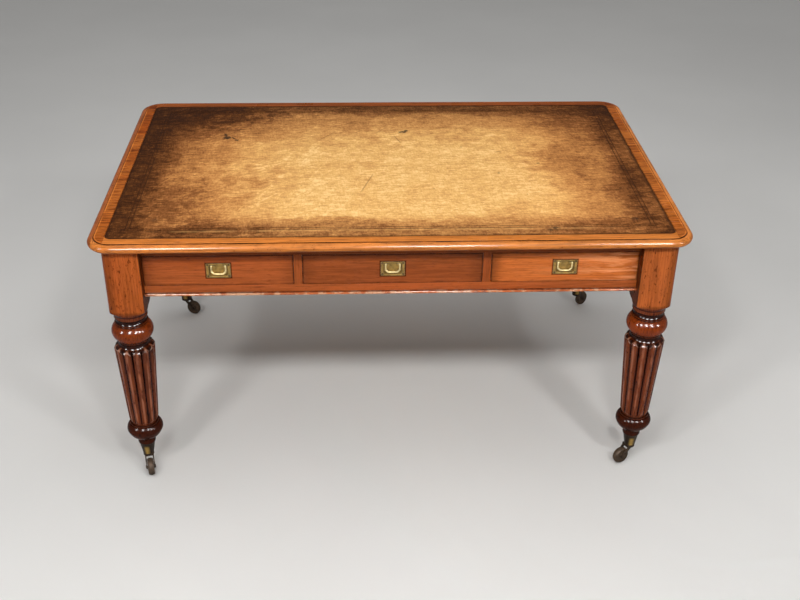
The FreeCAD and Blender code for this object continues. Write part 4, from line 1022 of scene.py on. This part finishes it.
class DESK_OT_finish_carcass(bpy.types.Operator):
    """Leave the hidden boards and strips dry"""

    bl_idname = "desk.finish_carcass"
    bl_label = "Finish the carcass"

    def execute(self, context):
        wood = context.scene.desk_wood
        give(dry_timber("carcass_boards", wood.carcass, "x"), ["top_core", "centre_spine"])
        strips = ["drawer_runners", "drawer_guides", "drawer_kickers"]
        give(dry_timber("carcass_strips", shade(wood.carcass, 1.1), "y"), strips)
        return {"FINISHED"}


class DESK_OT_age_handles(bpy.types.Operator):
    """Age the brass plates and bails of the drawers"""

    bl_idname = "desk.age_handles"
    bl_label = "Age the handles"

    def execute(self, context):
        metal = context.scene.desk_metal
        give(brass("brass_plates", metal.brass, metal, 0.01, "plate"), on_drawers("handle_plate"))
        give(brass("brass_bails", metal.rubbed, metal, 0.004), on_drawers("handle_bail"))
        return {"FINISHED"}


class DESK_OT_age_castors(bpy.types.Operator):
    """Age the cups, forks and wheels, and drive in the cup screws"""

    bl_idname = "desk.age_castors"
    bl_label = "Age the castors"

    def execute(self, context):
        metal = context.scene.desk_metal
        give(brass("brass_cups", shade(metal.brass, 1.3), metal, 0.004, "cup"), ["castor_cups"])
        iron = cast_metal("castor_iron", metal.iron, metal.tread)
        give(iron, ["castor_pintles"] + [f"castor_fork_{corner}" for corner in CORNERS])
        tread = cast_metal("castor_tread", metal.tread, shade(metal.tread, 1.5))
        give(tread, [f"castor_wheel_{corner}" for corner in CORNERS])
        self.drive_screws(metal)
        return {"FINISHED"}

    def drive_screws(self, metal):
        """Two screws through each cup, on the sides that face out along Y."""
        low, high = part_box("castor_cups")
        top_radius, bottom_radius = 0.0228, 0.0155
        rise = (metal.screw_height - low.z) / (high.z - low.z)
        radius = bottom_radius + (top_radius - bottom_radius) * rise
        lean = (top_radius - bottom_radius) / (high.z - low.z)
        points, facings = [], []
        for corner in CORNERS:
            axis = middle(f"leg_{corner}")
            for sign in (-1, 1):
                points.append((axis.x, axis.y + sign * radius, metal.screw_height))
                facings.append(Vector((0, sign, -lean)).normalized())
        mesh = bpy.data.meshes.new("cup_screw_points")
        mesh.from_pydata(points, [], [])
        facing = mesh.attributes.new("facing", "FLOAT_VECTOR", "POINT")
        facing.data.foreach_set("vector", [part for vector in facings for part in vector])
        sizes = {"Head": metal.screw, "Rise": metal.screw_rise, "Slot": metal.screw_slot, "Seed": metal.seed}
        material = brass("brass_screws", shade(metal.brass, 1.1), metal, 0.002)
        piece = grown("cup_screws", screw_tree(sizes), mesh, {**sizes, "Material": material})
        if not piece.data.polygons:
            raise RuntimeError("the cup screws have no faces")
        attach(piece, ROOT)


class DESK_OT_set_stage(bpy.types.Operator):
    """Lay the floor, hang the lights and place the camera"""

    bl_idname = "desk.set_stage"
    bl_label = "Set the stage"

    def execute(self, context):
        stage = context.scene.desk_stage
        context.scene.view_settings.view_transform = "Standard"
        self.lay_floor(context, stage)
        self.hang_lights(context, stage)
        self.place_camera(context, stage)
        return {"FINISHED"}

    def lay_floor(self, context, stage):
        """A plain pale floor under the castors."""
        half = stage.floor_size / 2
        mesh = bpy.data.meshes.new("floor")
        corners = [(-half, -half, 0), (half, -half, 0), (half, half, 0), (-half, half, 0)]
        mesh.from_pydata(corners, [], [(0, 1, 2, 3)])
        finish = Finish("floor")
        cloud = finish.noise(1.1, 3)
        base = cloud.ease(0.3, 0.7).mix(paint(shade(stage.floor, 0.98)), paint(shade(stage.floor, 1.02)))
        mesh.materials.append(finish.done(base, 0.7, 0.0))
        floor = bpy.data.objects.new("floor", mesh)
        context.scene.collection.objects.link(floor)

    def hang_lights(self, context, stage):
        """Soft boxes that light the desk, and cards that show in its polish alone."""
        world = bpy.data.worlds.new("studio")
        world.use_nodes = True
        context.scene.world = world
        background = world.node_tree.nodes["Background"]
        background.inputs["Color"].default_value = (1, 1, 1, 1)
        background.inputs["Strength"].default_value = stage.sky
        boxes = [("overhead", (0.0, 0.2, 3.6), (3.2, 3.2), stage.overhead)]
        for number, x in enumerate(BOX_PLACES):
            boxes.append((f"front_box_{number}", (x, -2.6, 2.8), (0.34, 0.34), stage.key))
        for number, x in enumerate(CARD_PLACES):
            boxes.append((f"gleam_{number}", (x, -2.0, 1.9), (0.4, 1.0), stage.gleam))
        for name, place, (wide, tall), power in boxes:
            lamp = bpy.data.lights.new(name, "AREA")
            lamp.shape = "RECTANGLE"
            lamp.size = wide
            lamp.size_y = tall
            lamp.energy = power
            hung = bpy.data.objects.new(name, lamp)
            hung.location = place
            hung.visible_camera = False
            hung.visible_glossy = not name.startswith("front_box")
            hung.visible_diffuse = not name.startswith("gleam")
            aim = Vector((place[0] * 0.35, 0, 0.6)) - Vector(place)
            hung.rotation_euler = aim.to_track_quat("-Z", "Y").to_euler()
            context.scene.collection.objects.link(hung)

    def place_camera(self, context, stage):
        """A camera turned, tilted and leaned as the settings say."""
        turn, tip, lean = stage.yaw, stage.pitch, stage.roll
        ahead = Vector((math.sin(turn) * math.cos(tip), math.cos(turn) * math.cos(tip), -math.sin(tip)))
        right = Vector((math.cos(turn), -math.sin(turn), 0))
        down = ahead.cross(right)
        right_edge = right * math.cos(lean) + down * math.sin(lean)
        up_edge = right * math.sin(lean) - down * math.cos(lean)
        lens = bpy.data.cameras.new("camera")
        lens.sensor_width = 36
        lens.lens = stage.lens
        camera = bpy.data.objects.new("camera", lens)
        basis = Matrix((right_edge, up_edge, -ahead)).transposed().to_4x4()
        camera.matrix_world = Matrix.Translation(stage.eye) @ basis
        context.scene.collection.objects.link(camera)
        context.scene.camera = camera


class DESK_PT_finish(bpy.types.Panel):
    """Sizes, colours and steps of the desk's finish"""

    bl_idname = "DESK_PT_finish"
    bl_label = "Partners Desk"
    bl_space_type = "VIEW_3D"
    bl_region_type = "UI"
    bl_category = "Desk"

    def draw(self, context):
        for settings in SETTINGS:
            group = getattr(context.scene, settings)
            column = self.layout.column(heading=group.__doc__)
            for name in group.__annotations__:
                column.prop(group, name)
        for operator in OPERATORS:
            self.layout.operator(operator.bl_idname)


SETTINGS = {"desk_wood": DeskWood, "desk_leather": DeskLeather, "desk_metal": DeskMetal,
            "desk_stage": DeskStage}
OPERATORS = (DESK_OT_lay_leather, DESK_OT_polish_top, DESK_OT_polish_frieze, DESK_OT_polish_drawers,
             DESK_OT_polish_legs, DESK_OT_finish_carcass, DESK_OT_age_handles, DESK_OT_age_castors,
             DESK_OT_set_stage)


def register():
    for name, settings in SETTINGS.items():
        bpy.utils.register_class(settings)
        setattr(bpy.types.Scene, name, PointerProperty(type=settings))
    for operator in OPERATORS:
        bpy.utils.register_class(operator)
    bpy.utils.register_class(DESK_PT_finish)


def unregister():
    bpy.utils.unregister_class(DESK_PT_finish)
    for operator in OPERATORS:
        bpy.utils.unregister_class(operator)
    for name, settings in SETTINGS.items():
        delattr(bpy.types.Scene, name)
        bpy.utils.unregister_class(settings)


def main():
    register()
    bpy.ops.desk.lay_leather()
    bpy.ops.desk.polish_top()
    bpy.ops.desk.polish_frieze()
    bpy.ops.desk.polish_drawers()
    bpy.ops.desk.polish_legs()
    bpy.ops.desk.finish_carcass()
    bpy.ops.desk.age_handles()
    bpy.ops.desk.age_castors()
    bpy.ops.desk.set_stage()


if __name__ == "__main__":
    main()
